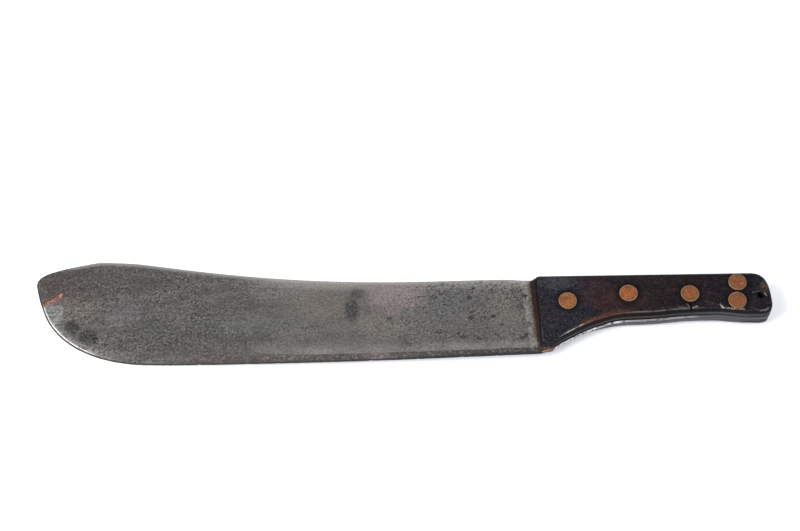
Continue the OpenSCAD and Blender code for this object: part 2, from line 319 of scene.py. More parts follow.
class Shell:
    """Patches of vertices and faces that are welded into one closed mesh."""

    def __init__(self) -> None:
        """Starts with no patches."""
        self.points: list[Array] = []
        self.faces: list[Array] = []
        self.count = 0

    def patch(self, points: Array, faces: Array) -> None:
        """Adds vertices and the faces between them.

        Args:
            points: rows of x, y and z.
            faces: rows of places in the points.
        """
        self.points.append(points)
        self.faces.append(faces + self.count)
        self.count += len(points)

    def loft(self, rings: Sequence[Array]) -> None:
        """Adds the wall between closed rings, which faces outwards where they go up.

        Args:
            rings: rings of as many points each.
        """
        count = len(rings[0])
        here = np.arange(count)
        there = (here + 1) % count
        quads = [
            np.column_stack([here, there, there + count, here + count]) + k * count
            for k in range(len(rings) - 1)
        ]
        self.patch(np.concatenate(rings), np.concatenate(quads))

    def object(self, name: str) -> bpy.types.Object:
        """Makes the welded mesh and its object.

        Args:
            name: the piece's name.

        Returns:
            The new object, at the origin.
        """
        points = np.concatenate(self.points) * MM
        corners = np.concatenate([part.ravel() for part in self.faces])
        sizes = np.concatenate([np.full(len(part), part.shape[1]) for part in self.faces])
        mesh = bpy.data.meshes.new(name)
        mesh.vertices.add(len(points))
        mesh.vertices.foreach_set("co", points.astype(np.float32).ravel())
        mesh.loops.add(len(corners))
        mesh.loops.foreach_set("vertex_index", corners.astype(np.int32))
        mesh.polygons.add(len(sizes))
        mesh.polygons.foreach_set("loop_start", (np.cumsum(sizes) - sizes).astype(np.int32))
        mesh.update(calc_edges=True)
        work = bmesh.new()
        work.from_mesh(mesh)
        bmesh.ops.remove_doubles(work, verts=work.verts, dist=2e-7)
        bmesh.ops.dissolve_degenerate(work, edges=work.edges, dist=1e-8)
        work.to_mesh(mesh)
        work.free()
        piece = bpy.data.objects.new(name, mesh)
        bpy.context.scene.collection.objects.link(piece)
        return piece


def points_of(piece: bpy.types.Object) -> Array:
    """A piece's vertices in millimetres.

    Args:
        piece: the piece.

    Returns:
        Rows of x, y and z.
    """
    flat = np.zeros(len(piece.data.vertices) * 3, np.float32)
    piece.data.vertices.foreach_get("co", flat)
    return flat.reshape(-1, 3).astype(float) / MM


def move_points(piece: bpy.types.Object, points: Array) -> None:
    """Puts a piece's vertices at new places in millimetres, inside the box of the solids.

    Args:
        piece: the piece.
        points: rows of x, y and z.
    """
    low, high = (np.array(corner) / MM for corner in CAD_BOX)
    points = np.clip(points, low + 1e-4, high - 1e-4)
    piece.data.vertices.foreach_set("co", (points * MM).astype(np.float32).ravel())
    piece.data.update()


def keep_values(piece: bpy.types.Object, name: str, values: Array) -> None:
    """Stores one number per vertex on a piece, for its material to read."""
    held = piece.data.attributes.new(name, "FLOAT", "POINT")
    held.data.foreach_set("value", values.astype(np.float32))


def shade(piece: bpy.types.Object, degrees: float = 38) -> None:
    """Shades a piece smoothly, with sharp edges where its faces turn by more than an angle."""
    piece.data.polygons.foreach_set("use_smooth", np.ones(len(piece.data.polygons), bool))
    piece.data.set_sharp_from_angle(angle=math.radians(degrees))


def cut(piece: bpy.types.Object, cutter: bpy.types.Object) -> None:
    """Takes a closed cutter's volume out of a piece and deletes the cutter.

    Args:
        piece: the piece that is cut.
        cutter: the closed shape that is taken out of it.
    """
    step = piece.modifiers.new("cut", "BOOLEAN")
    step.operation = "DIFFERENCE"
    step.solver = "EXACT"
    step.use_self = True
    step.object = cutter
    whole = piece.evaluated_get(bpy.context.evaluated_depsgraph_get())
    mesh = bpy.data.meshes.new_from_object(whole)
    piece.modifiers.clear()
    piece.data = mesh
    bpy.data.objects.remove(cutter)


# Sizes that the pieces share


@dataclass(frozen=True)
class Grip:
    """Sizes of the grip that the tang, the scales and the rivets share."""

    reach: float = 153.0
    tang_half: float = 1.6
    half: float = 11.5
    back_rise: float = 18.6
    crown_run: float = 6.3
    butt_reach: float = 7.7
    hole_radius: float = 2.4
    shank_radius: float = 2.4
    head_radius: float = 6.4
    burr_radius: float = 5.7
    gap: float = 0.1
    head_seat: float = 9.9
    burr_seat: float = 9.25
    places: tuple[tuple[float, float], ...] = (
        (-132.8, -2.2),
        (-90.7, 2.9),
        (-48.6, 1.9),
        (-15.2, 10.1),
        (-16.6, -3.8),
    )

    def underside(
        self, widths: Sequence[float], height: float = 0.0, wear: Sequence[float] = (0.0, 0.0)
    ) -> list[Knot]:
        """Knots of the underside, from the foot to the end of the butt.

        Args:
            widths: the knots' widths along the belly, at the swell and round the butt.
            height: the knots' height.
            wear: how much shorter the foot is, and how much flatter the swell.

        Returns:
            The knots in order.
        """
        belly, swell, butt = widths
        foot, flat = wear
        return [
            Knot(12 - foot - self.reach, -31.8, 29 - 0.3 * foot, 0.3, 0.57, belly, height),
            Knot(-88, -12.4, 1, 0.3, 0.5, belly, height),
            Knot(-38, -9.8, 0, 0.45, 0.5, belly, height),
            Knot(-5, flat - 12.7, -1, 0.5, 0.6, swell, height),
            Knot(self.butt_reach, -4, 92, 0.55, 0.55, butt, height),
        ]

    def leaning(self, ring: Array, level: float) -> Array:
        """An outline of the grip with its underside moved as the walls lean there.

        At the seam the belly stands out by up to 0.8 mm, and the face is set in beside the foot
        by up to 1.3 mm.

        Args:
            ring: the outline's points, as rows that start with x and y.
            level: 0 at the seam and 1 at the face.

        Returns:
            The moved outline.
        """
        x, under = ring[:, 0], smooth(ring[:, 1], -3, -7)
        out = 0.8 * smooth(x, -128, -108) * smooth(x, -18, -42)
        back = 1.3 * smooth(x, -147, -137) * smooth(x, -108, -126)
        moved = ring.copy()
        moved[:, 1] += under * (level * back - (1 - level) * out)
        return moved


GRIP = Grip()


# Wiring of materials


Colour = tuple[float, float, float]
Value = bpy.types.NodeSocket | float | Sequence[float]


def linear(colour: Colour) -> tuple[float, ...]:
    """A colour as a shader takes it, from the 0 to 255 values that a screen shows.

    Args:
        colour: red, green and blue.

    Returns:
        Red, green and blue in linear light, and an alpha of 1.
    """
    share = np.array(colour) / 255
    value = np.where(share <= 0.04045, share / 12.92, ((share + 0.055) / 1.055) ** 2.4)
    return (*value.tolist(), 1.0)


class Wiring:
    """A node tree with a short method for each kind of node that the finishes use."""

    def __init__(self, tree: bpy.types.NodeTree) -> None:
        """Starts on a tree, which keeps the nodes that it has."""
        self.tree = tree

    def put(self, socket: bpy.types.NodeSocket, value: Value) -> None:
        """Links an output to a socket, or sets the socket's own value.

        Args:
            socket: the input.
            value: what it takes.
        """
        if isinstance(value, bpy.types.NodeSocket):
            self.tree.links.new(value, socket)
        else:
            socket.default_value = value

    def node(self, kind: str, inputs: dict | None = None, **settings: object) -> bpy.types.Node:
        """Adds a node with some settings, and fills its inputs by name or place.

        Args:
            kind: the node's type.
            inputs: its inputs' values.
            settings: its settings' values.

        Returns:
            The node.
        """
        made = self.tree.nodes.new(kind)
        for name, value in settings.items():
            setattr(made, name, value)
        for name, value in (inputs or {}).items():
            self.put(made.inputs[name], value)
        return made

    def math(self, kind: str, a: Value, b: Value = 0.0, clamp: bool = False) -> Value:
        """One step of arithmetic."""
        made = self.node("ShaderNodeMath", {0: a, 1: b}, operation=kind, use_clamp=clamp)
        return made.outputs[0]

    def all(self, *values: Value) -> Value:
        """The product of several masks."""
        return reduce(lambda a, b: self.math("MULTIPLY", a, b), values)

    def most(self, *values: Value) -> Value:
        """The largest of several masks."""
        return reduce(lambda a, b: self.math("MAXIMUM", a, b), values)

    def less(self, a: Value, b: Value) -> Value:
        """The difference of two numbers."""
        return self.math("SUBTRACT", a, b)

    def unsigned(self, value: Value) -> Value:
        """A number without its sign."""
        return self.math("ABSOLUTE", value)

    def vector(self, kind: str, a: Value, b: Value = (0.0, 0.0, 0.0)) -> Value:
        """One step of arithmetic on vectors, which gives a vector."""
        return self.node("ShaderNodeVectorMath", {0: a, 1: b}, operation=kind).outputs[0]

    def measure(self, kind: str, a: Value, b: Value = (0.0, 0.0, 0.0)) -> Value:
        """One step of arithmetic on vectors, which gives a number."""
        return self.node("ShaderNodeVectorMath", {0: a, 1: b}, operation=kind).outputs["Value"]

    def step(self, value: Value, low: Value, high: Value) -> Value:
        """A soft step from 0 at low to 1 at high."""
        inputs = {"Value": value, "From Min": low, "From Max": high}
        return self.node("ShaderNodeMapRange", inputs, interpolation_type="SMOOTHSTEP").outputs[0]

    def near(self, value: Value, middle: float, reach: float) -> Value:
        """1 where a value is at the middle, falling softly to 0 at reach from it."""
        return self.step(self.unsigned(self.less(value, middle)), reach, 0.0)

    def mix(self, share: Value, a: Value, b: Value, label: str = "") -> Value:
        """A colour between two others, each an output or a colour as a screen shows it.

        Args:
            share: 0 for the first colour and 1 for the second.
            a: the first colour.
            b: the second colour.
            label: the node's label.

        Returns:
            The mixed colour.
        """
        made = self.node("ShaderNodeMix", {0: share}, data_type="RGBA", label=label)
        for socket, value in ((6, a), (7, b)):
            self.put(made.inputs[socket], linear(value) if isinstance(value, tuple) else value)
        return made.outputs[2]

    def blend(self, share: Value, a: Value, b: Value) -> Value:
        """A number between two others."""
        return self.node("ShaderNodeMix", {0: share, 2: a, 3: b}, data_type="FLOAT").outputs[0]

    def noise(self, place: Value, size: Value, detail: float = 4, rough: float = 0.55) -> Value:
        """Soft noise whose patches are about the given size in millimetres.

        Args:
            place: the coordinates.
            size: the patches' size.
            detail: how many finer layers it has.
            rough: how strong they are.

        Returns:
            Values about 0.5.
        """
        scale = self.math("DIVIDE", 1 / MM, size)
        inputs = {"Vector": place, "Scale": scale, "Detail": detail, "Roughness": rough}
        return self.node("ShaderNodeTexNoise", inputs).outputs[0]

    def wander(self, place: Value, size: Value, detail: float, rough: float) -> Value:
        """Noise between -0.5 and 0.5, which makes an edge ragged."""
        return self.less(self.noise(place, size, detail, rough), 0.5)

    def group(self, name: str, **inputs: Value) -> Value:
        """Places a shared effect with its own values and returns its only output."""
        return self.node("ShaderNodeGroup", inputs, node_tree=EFFECTS[name]).outputs[0]

    def held(self, name: str) -> Value:
        """The number that a piece stores on its vertices under a name."""
        return self.node("ShaderNodeAttribute", attribute_name=name).outputs["Fac"]


EFFECTS: dict[str, bpy.types.NodeTree] = {}


def wire_clouds(w: Wiring, given: dict) -> Value:
    """Patches of noise, 0 below Low and 1 above High, drawn out along X by Stretch."""
    long = w.vector("DIVIDE", given["Place"], given["Stretch"])
    return w.step(w.noise(long, given["Size"], 4, 0.62), given["Low"], given["High"])


def wire_specks(w: Wiring, given: dict) -> Value:
    """Round specks: in the share of the cells that Cover says, a soft dot about each middle.

    Args:
        w: the effect's wiring.
        given: its inputs by name.

    Returns:
        The mask.
    """
    shift = w.all(w.wander(given["Place"], given["Size"], 3, 0.7), given["Size"], 0.8 * MM)
    scale = w.math("DIVIDE", 1 / MM, given["Size"])
    moved = w.vector("ADD", given["Place"], shift)
    cells = w.node("ShaderNodeTexVoronoi", {"Vector": moved, "Scale": scale})
    chance = w.node("ShaderNodeSeparateColor", {0: cells.outputs["Color"]}).outputs[0]
    chosen = w.math("LESS_THAN", chance, given["Cover"])
    reach = w.all(w.math("DIVIDE", chance, given["Cover"]), 0.45)
    dot = w.step(cells.outputs["Distance"], reach, 0.02)
    return w.math("MULTIPLY", chosen, dot, clamp=True)


def wire_patch(w: Wiring, given: dict) -> Value:
    """A soft patch: 1 at its centre and 0 at its reach, with an edge that noise makes ragged.

    Args:
        w: the effect's wiring.
        given: its inputs by name.

    Returns:
        The mask.
    """
    off = w.vector("DIVIDE", w.vector("SUBTRACT", given["Place"], given["Centre"]), given["Reach"])
    wild = w.all(w.wander(given["Place"], given["Grain"], 5, 0.7), given["Ragged"])
    return w.step(w.math("ADD", w.measure("LENGTH", off), wild), 1.1, 0.45)


def wire_stroke(w: Wiring, given: dict) -> Value:
    """A line from Start to End, 1 on it and 0 at Width from it, which Broken turns to flecks.

    Args:
        w: the effect's wiring.
        given: its inputs by name.

    Returns:
        The mask.
    """
    along = w.vector("SUBTRACT", given["End"], given["Start"])
    off = w.vector("SUBTRACT", given["Place"], given["Start"])
    length = w.measure("DOT_PRODUCT", along, along)
    share = w.math("DIVIDE", w.measure("DOT_PRODUCT", off, along), length, clamp=True)
    reached = w.node("ShaderNodeVectorMath", {0: along, "Scale": share}, operation="SCALE")
    far = w.measure("LENGTH", w.vector("SUBTRACT", off, reached.outputs[0]))
    rough = w.noise(given["Place"], given["Grain"], 4, 0.8)
    wild = w.all(w.less(rough, 0.5), given["Ragged"])
    far = w.math("ADD", w.math("DIVIDE", far, given["Width"]), wild)
    return w.all(w.step(far, 1.0, 0.5), w.blend(given["Broken"], 1.0, w.step(rough, 0.47, 0.57)))


def wire_scratches(w: Wiring, given: dict) -> Value:
    """Thin lines along a turned axis: the places where stretched noise crosses its middle.

    Args:
        w: the effect's wiring.
        given: its inputs by name.

    Returns:
        The mask.
    """
    turned = w.node("ShaderNodeVectorRotate", {"Vector": given["Place"], "Angle": given["Turn"]})
    long = w.vector("MULTIPLY", turned.outputs[0], (0.05, 1.0, 1.0))
    line = w.step(w.unsigned(w.wander(long, given["Size"], 2, 0.5)), given["Width"], 0.0)
    return w.all(line, w.step(w.noise(given["Place"], 14.0, 2), 0.45, 0.62))


def wire_grain(w: Wiring, given: dict) -> Value:
    """Wood grain along X: noise drawn out twelve times as long as it is wide."""
    return w.noise(w.vector("MULTIPLY", given["Place"], (0.085, 1.0, 1.0)), given["Size"], 6, 0.65)


def build_effects() -> None:
    """Builds the node groups that the finishes share, each with one output called Mask."""
    vectors = ("Place", "Stretch", "Centre", "Reach", "Start", "End")
    for name, wire, sockets in (
        ("clouds", wire_clouds, "Place Stretch Size Low High"),
        ("specks", wire_specks, "Place Size Cover"),
        ("patch", wire_patch, "Place Centre Reach Ragged Grain"),
        ("stroke", wire_stroke, "Place Start End Width Ragged Grain Broken"),
        ("scratches", wire_scratches, "Place Size Width Turn"),
        ("grain", wire_grain, "Place Size"),
    ):
        tree = bpy.data.node_groups.new(name, "ShaderNodeTree")
        for socket in sockets.split():
            kind = "NodeSocketVector" if socket in vectors else "NodeSocketFloat"
            tree.interface.new_socket(name=socket, in_out="INPUT", socket_type=kind)
        tree.interface.new_socket(name="Mask", in_out="OUTPUT", socket_type="NodeSocketFloat")
        wiring = Wiring(tree)
        source, sink = tree.nodes.new("NodeGroupInput"), tree.nodes.new("NodeGroupOutput")
        given = {socket: source.outputs[socket] for socket in sockets.split()}
        wiring.put(sink.inputs["Mask"], wire(wiring, given))
        EFFECTS[name] = tree


class Canvas(Wiring):
    """A finish's wiring: the place that its patterns are read at, and its colour so far."""

    def __init__(self, tree: bpy.types.NodeTree) -> None:
        """Starts on a material's tree, with patterns read in Object coordinates.

        Args:
            tree: the material's tree.
        """
        super().__init__(tree)
        self.shader = tree.nodes["Principled BSDF"]
        self.colour: Value = (0.0, 0.0, 0.0)
        self.read_at(self.node("ShaderNodeTexCoord").outputs["Object"])

    def read_at(self, place: Value) -> None:
        """Reads what follows at these coordinates."""
        self.place = place
        self.x, self.y, self.z = self.node("ShaderNodeSeparateXYZ", {0: place}).outputs

    def moved(self, x: float, y: float, z: float = 0.0) -> Value:
        """The coordinates moved by metres, for a pattern that is unlike the others."""
        return self.vector("ADD", self.place, (x, y, z))

    def clouds(
        self, size: float, low: float, high: float, long: float = 1.0, at: Value | None = None
    ) -> Value:
        """Patches of noise of a size in millimetres, drawn out along X.

        Args:
            size: the patches' size.
            low: the noise that gives 0.
            high: the noise that gives 1.
            long: how far they are drawn out.
            at: other coordinates to read them at.

        Returns:
            The mask.
        """
        place = self.place if at is None else at
        stretch = (long, 1.0, 1.0)
        return self.group("clouds", Place=place, Stretch=stretch, Size=size, Low=low, High=high)

    def along(self, low: float, high: float) -> Value:
        """A soft step along X from 0 at low to 1 at high, both in millimetres."""
        return self.step(self.x, low * MM, high * MM)

    def across(self, low: float, high: float) -> Value:
        """A soft step along Y from 0 at low to 1 at high, both in millimetres."""
        return self.step(self.y, low * MM, high * MM)

    def about(self, middle: float, reach: float) -> Value:
        """1 at a place along X, falling softly to 0 at reach from it, both in millimetres."""
        return self.near(self.x, middle * MM, reach * MM)

    def over(self, layer: str, colour: Value, *masks: Value) -> None:
        """Mixes a named layer over the colour so far, as far as the product of its masks."""
        self.colour = self.mix(self.all(*masks), self.colour, colour, layer)

    def send(self, rough: Value, height: Value, depth: float) -> None:
        """Feeds the shader its colour, its roughness and fine relief of a depth in metres.

        Args:
            rough: the roughness.
            height: the relief's height.
            depth: the depth of a height of 1.
        """
        relief = self.node("ShaderNodeBump", {"Height": height, "Distance": depth, "Strength": 1.0})
        self.put(self.shader.inputs["Base Color"], self.colour)
        self.put(self.shader.inputs["Roughness"], rough)
        self.put(self.shader.inputs["Normal"], relief.outputs[0])


def metres(x: float, y: float, z: float) -> Point:
    """A place or size in metres, from millimetres."""
    return (x * MM, y * MM, z * MM)


@dataclass(frozen=True)
class Mark:
    """A soft patch: its centre, its reach along each axis, its colour and how ragged it is."""

    centre: Point
    reach: Point
    colour: Colour
    strength: float
    ragged: float
    grain: float

    def mask(self, w: Canvas) -> Value:
        """Where the patch lies."""
        where = {"Centre": metres(*self.centre), "Reach": metres(*self.reach)}
        return w.group("patch", Place=w.place, Ragged=self.ragged, Grain=self.grain, **where)

    def lay(self, w: Canvas) -> None:
        """Mixes the patch over the colour so far."""
        w.over("patch", self.colour, self.mask(w), self.strength)


@dataclass(frozen=True)
class Stroke:
    """A line from one point to another that noise breaks up."""

    start: Point
    end: Point
    width: float
    colour: Colour
    strength: float
    ragged: float
    grain: float
    broken: float = 0.0

    def mask(self, w: Canvas) -> Value:
        """Where the line lies.

        Args:
            w: the material's wiring.

        Returns:
            The mask.
        """
        ends = {"Start": metres(*self.start), "End": metres(*self.end), "Width": self.width * MM}
        look = {"Ragged": self.ragged, "Grain": self.grain, "Broken": self.broken}
        return w.group("stroke", Place=w.place, **ends, **look)

    def lay(self, w: Canvas) -> None:
        """Mixes the line over the colour so far."""
        w.over("stroke", self.colour, self.mask(w), self.strength)


def through(*rows: tuple) -> tuple[Mark, ...]:
    """Marks that go right through the blade.

    Args:
        rows: for each its x, y, reach along X and along Y, and then what Mark takes from its
            colour on.

    Returns:
        The marks in the same order.
    """
    return tuple(Mark((x, y, 0), (wide, tall, 9), *look) for x, y, wide, tall, *look in rows)


class Finish:
    """What every finish shares: a Principled shader whose colour is laid on in layers."""

    name: str

    def wire(self, w: Canvas) -> None:
        """Lays the finish's own layers and feeds the shader."""
        raise NotImplementedError

    def make(self) -> bpy.types.Material:
        """Builds the material.

        Returns:
            The material.
        """
        material = bpy.data.materials.new(self.name)
        material.use_nodes = True
        self.wire(Canvas(material.node_tree))
        return material


@dataclass(frozen=True)
class OldSteel(Finish):
    """Forged steel with a mottled grey patina, fine pits and rust in places."""

    name = "old_steel"
    tones: tuple[Mark, ...] = through(
        (-478, 24, 34, 24, (50, 32, 31), 0.92, 1.3, 12),
        (-432, 26, 46, 16, (58, 56, 57), 0.8, 1.3, 12),
        (-470, 4, 26, 14, (120, 111, 100), 0.6, 1.2, 8),
        (-439, -3, 17, 13, (128, 124, 130), 0.5, 1.3, 6),
        (-395, -17, 50, 17, (74, 74, 74), 0.8, 1.4, 10),
        (-375, -24, 44, 11, (52, 50, 48), 0.9, 1.2, 9),
        (-364, -4, 28, 13, (78, 73, 71), 0.55, 1.3, 9),
        (-345, -13, 42, 10, (104, 108, 108), 0.45, 1.3, 8),
        (-325, 14, 34, 10, (124, 122, 122), 0.5, 1.2, 7),
        (-300, 3, 30, 18, (112, 104, 94), 0.5, 1.2, 10),
        (-258, -14, 26, 14, (122, 115, 108), 0.6, 1.2, 8),
        (-248, 12, 29, 19, (166, 146, 150), 0.6, 1.5, 9),
        (-213, 8, 24, 16, (90, 90, 95), 0.6, 1.4, 9),
        (-222, -9, 34, 12, (88, 89, 92), 0.5, 1.4, 8),
        (-172, 0, 20, 40, (112, 108, 102), 0.5, 1.2, 7),
        (-165.5, 5, 6, 14, (66, 60, 68), 0.8, 1.3, 4),
        (-168, 16, 11, 4, (122, 104, 78), 0.5, 1.2, 4),
        # The bright patch on the tip's lower curve is a painted highlight.
        (-486, -1.5, 8, 10, (188, 190, 186), 0.75, 1.4, 3),
        (-470, 13.5, 13, 8, (66, 46, 42), 0.5, 1.5, 4),
    )
    black: tuple[Mark, ...] = through(
        (-472.6, -12.0, 5.9, 6.5, (1, 2, 3), 1.0, 1.1, 2.2),
        (-461.0, -20.0, 8.2, 7.2, (8, 10, 14), 1.0, 1.7, 2.8),
    )
    stains: tuple[Mark, ...] = through(
        (-280.6, -2, 6, 12, (44, 46, 50), 0.8, 1.4, 4),
        (-243.3, -31, 5.5, 5, (26, 26, 28), 0.9, 1.2, 2.5),
        (-277, 10, 6, 5, (56, 56, 60), 0.6, 1.2, 3),
        (-255, -9, 2.4, 2, (34, 32, 34), 0.8, 1.0, 2),
    )
    rust: tuple[Stroke, ...] = (
        Stroke((-493.6, 4.6, 1.1), (-483.0, 9.0, 1.1), 2.2, (146, 112, 106), 0.6, 2.6, 1.6, 0.6),
        Stroke((-492.2, 7.0, 1.1), (-481.0, 13.4, 1.1), 2.8, (98, 48, 40), 0.9, 3.4, 1.2, 0.6),
        Stroke((-491.6, 7.6, 1.1), (-481.0, 13.9, 1.1), 1.3, (194, 100, 76), 0.9, 3.2, 0.9, 1.1),
        Stroke((-491.4, 6.0, 1.1), (-482.4, 11.0, 1.1), 1.4, (60, 26, 22), 0.9, 2.8, 1.0, 0.9),
        Stroke((-482.6, 12.8, 1.1), (-481.4, 13.6, 1.1), 1.0, (232, 172, 148), 0.9, 1.6, 1.2, 0.3),
        Stroke((-492.0, 5.6, 1.1), (-482.0, 11.6, 1.1), 2.2, (240, 196, 184), 0.75, 3.4, 0.8, 1.25),
    )
    pale: tuple[Stroke, ...] = (
        Stroke((-161.2, 19, 1.6), (-156.4, -36, 1.6), 3.4, (166, 161, 153), 0.75, 2.4, 1.6, 0.4),
        Stroke((-158.8, 19, 1.6), (-154.4, -36, 1.6), 1.4, (112, 92, 76), 0.7, 2.4, 1.6, 0.3),
    )
    band: tuple[Stroke, ...] = (
        Stroke((-156.0, 19, 1.6), (-152.0, -36, 1.6), 2.5, (54, 39, 33), 0.95, 1.8, 1.8, 0.2),
        Stroke((-158.4, -30, 0.9), (-150.6, -29.4, 0.9), 1.3, (190, 186, 178), 0.8, 2.6, 1.2, 0.9),
        Stroke((-150.4, -35.4, 0.6), (-144.6, -34, 0.9), 0.9, (226, 216, 204), 0.8, 2.0, 1.4, 0.8),
    )
    heel: Mark = Mark((-146.5, -34.4, 0), (8.5, 4.0, 9), (116, 80, 56), 0.9, 1.2, 2.0)
    hidden_shift: float = 36.0

    def patina(self, w: Canvas) -> Value:
        """Lays the mottled grey of the faces.

        The hidden face has the same patches in other places.

        Args:
            w: the material's wiring.

        Returns:
            The mask of the dark pits.
        """
        here, apart = w.place, w.all(w.step(w.z, 0.3 * MM, -0.3 * MM), self.hidden_shift * MM)
        shift = w.node("ShaderNodeCombineXYZ", {0: apart, 1: w.all(apart, -0.3)}).outputs[0]
        w.read_at(w.vector("ADD", here, shift))
        w.colour = w.mix(w.clouds(26, 0.38, 0.62, 2.6), (81, 79, 79), (101, 95, 90), "patches")
        w.over("smaller patches", (68, 68, 71), w.clouds(7, 0.36, 0.64, 2), 0.75)
        for tone in self.tones:
            tone.lay(w)
        crest = w.all(w.step(w.held("rim"), 9, 3), w.across(8, 11), w.along(-370, -320), 0.8)
        w.over("crest", (150, 148, 144), crest, w.blend(w.about(-248, 40), 1.0, 0.2))
        w.over("dust", (150, 147, 143), 0.14)
        blotched = w.blend(w.clouds(1.8, 0.4, 0.54, 1.2), 0.45, 1.0)
        masks = [stain.mask(w) for stain in self.black]
        for stain, mask in zip(self.black, masks):
            w.over("black stain", stain.colour, w.step(mask, 0.2, 0.6), blotched)
        for layer in (*self.stains, *self.pale):
            layer.lay(w)
        other = w.moved(0.31, 0.17, 0.05)
        calm = w.blend(w.about(-292, 95), 1.0, 0.5)
        thick = w.all(w.blend(w.clouds(20, 0.38, 0.62, 2.4, other), 0.7, 1.0), calm)
        heavy = w.along(-250, -200)
        clots = w.blend(w.clouds(4.2, 0.5, 0.64, 1.5, other), 0.7, 1.0)
        grain = w.all(w.clouds(1.3, 0.46, 0.56, 1.25), w.blend(heavy, 1.0, 0.85), clots)
        dots = w.clouds(2, 0.6, 0.64, 1.2, w.moved(0.4, 0.6))
        specks = w.group("specks", Place=w.place, Size=2.7, Cover=w.blend(heavy, 0.2, 0.7))
        pits = w.all(w.most(grain, dots, w.all(specks, w.blend(heavy, 0.5, 1.0))), thick)
        fine = w.all(w.clouds(1.1, 0.48, 0.58, at=other), thick, w.blend(heavy, 0.46, 0.42))
        w.over("fine grain", (148, 145, 141), fine, w.blend(w.most(*masks), 1.0, 0.7))
        w.over("pits", (15, 14, 14), pits, 0.95)
        salt = w.clouds(1.1, 0.59, 0.64, 1.2, w.moved(0.8, 0.2))
        w.over("salt", (182, 178, 173), salt, thick, 0.36)
        w.over("streaks", (62, 62, 63), w.clouds(3, 0.47, 0.6, 8), w.along(-300, -360), 0.4)
        w.read_at(here)
        return pits

    def edge(self, w: Canvas) -> Value:
        """Lays the ground edge: bare near the tip with painted highlights, stained along the
        straight.

        Args:
            w: the material's wiring.

        Returns:
            The mask of the bare steel.
        """
        rim, ground = w.held("rim"), w.held("ground")
        grit, wild = w.clouds(1.5, 0.42, 0.6, 1.4), w.clouds(5, 0.3, 0.62, 1.6)
        # The straight bevel is brown and speckled, and darker towards the grip
        below, straight = w.colour, w.along(-415, -370)
        w.colour = w.mix(w.along(-330, -290), (88, 83, 80), (74, 68, 67), "bevel")
        w.over("ruddy stretch", (124, 110, 112), w.about(-264, 13))
        w.over("dark stretch", (56, 54, 57), w.along(-256, -225))
        w.over("darker by the grip", (44, 42, 46), w.along(-190, -168))
        w.over("light flecks", (152, 146, 142), w.clouds(1.5, 0.5, 0.6, at=w.moved(0.2, 0.1)), 0.45)
        w.over("dark flecks", (44, 39, 38), w.clouds(1.3, 0.46, 0.58, 1.4), 0.65)
        bevel, w.colour = w.colour, below
        w.over("bevel", bevel, w.step(ground, 1.06, 0.98), straight, 0.9)
        low = w.all(w.near(ground, 0.18, 0.3), straight)
        w.over("keen edge", (54, 50, 50), low, w.blend(wild, 0.2, 0.7))
        low = w.all(w.step(ground, 0.6, 0.1), w.along(-250, -200))
        w.over("keen edge by the grip", (30, 29, 32), low, 0.85)
        # The light band above the bevel is a painted highlight on the ridge.
        ridge_highlight = w.all(w.step(ground, 2.9, 1.4), w.step(ground, 1.02, 1.15), straight)
        ridge_highlight = w.all(ridge_highlight, w.blend(wild, 0.5, 1.0), w.blend(grit, 0.72, 0.36))
        w.over("ridge_highlight", (143, 141, 138), ridge_highlight, w.blend(w.along(-350, -310), 0.25, 1.0))
        # Round the belly the steel is bare, and painted brighter towards the edge as a highlight
        bare_and_sheen = w.all(w.across(9, 1), w.along(-425, -462), w.step(rim, 11, 1.5))
        bare_and_sheen = w.all(bare_and_sheen, w.blend(wild, 0.25, 0.75))
        w.over("bare steel and sheen", w.mix(grit, (150, 149, 148), (84, 83, 82)), bare_and_sheen)
        # A painted highlight line runs just inside the rim round the tip.
        line = w.all(w.near(rim, 1.5, 0.55), w.across(8, 1), w.along(-445, -475))
        line = w.all(line, w.blend(grit, 1.0, 0.6))
        w.over("painted highlight line", (246, 246, 246), line)
        # The outer millimetre of the edge is darkened as painted shade.
        dark = w.all(w.step(rim, 1.15, 0.85), w.step(ground, 1.1, 1.0), 0.9)
        w.over("painted shade on the rim", (40, 38, 38), dark)
        return w.all(w.most(bare_and_sheen, line), w.less(1.0, dark))

    def tang(self, w: Canvas) -> Value:
        """Lays the tang's edge between the scales.

        Painted shadow darkens the tang beside the scales, and its edge is rubbed and painted with a
        bright highlight in dashes near the foot and dull towards the butt.

        Args:
            w: the material's wiring.

        Returns:
            The mask of the rubbed edge with its painted highlight.
        """
        level, held = w.unsigned(w.z), w.along(-143.5, -141)
        # Painted shadow darkens the tang where it sits in the gap beside the scales.
        w.over("painted gap shadow", (7, 6, 6), held, w.step(level, 1.45 * MM, 1.58 * MM))
        # The tang's edge is rubbed, and painted with a bright highlight in dashes near the foot.
        rubbed = w.all(held, w.step(w.held("rim"), 0.6, 0.35), w.step(level, 1.58 * MM, 1.4 * MM))
        dashes = w.clouds(2.3, 0.43, 0.5, 1.9)
        bright = w.mix(dashes, (100, 98, 98), (255, 255, 255))
        dull = w.mix(dashes, (116, 115, 116), (172, 171, 172))
        worn = w.mix(w.along(-100, -88), bright, dull)
        w.over("rubbed edge and painted highlight", w.mix(w.along(-50, -36), worn, (94, 94, 97)), rubbed)
        return rubbed

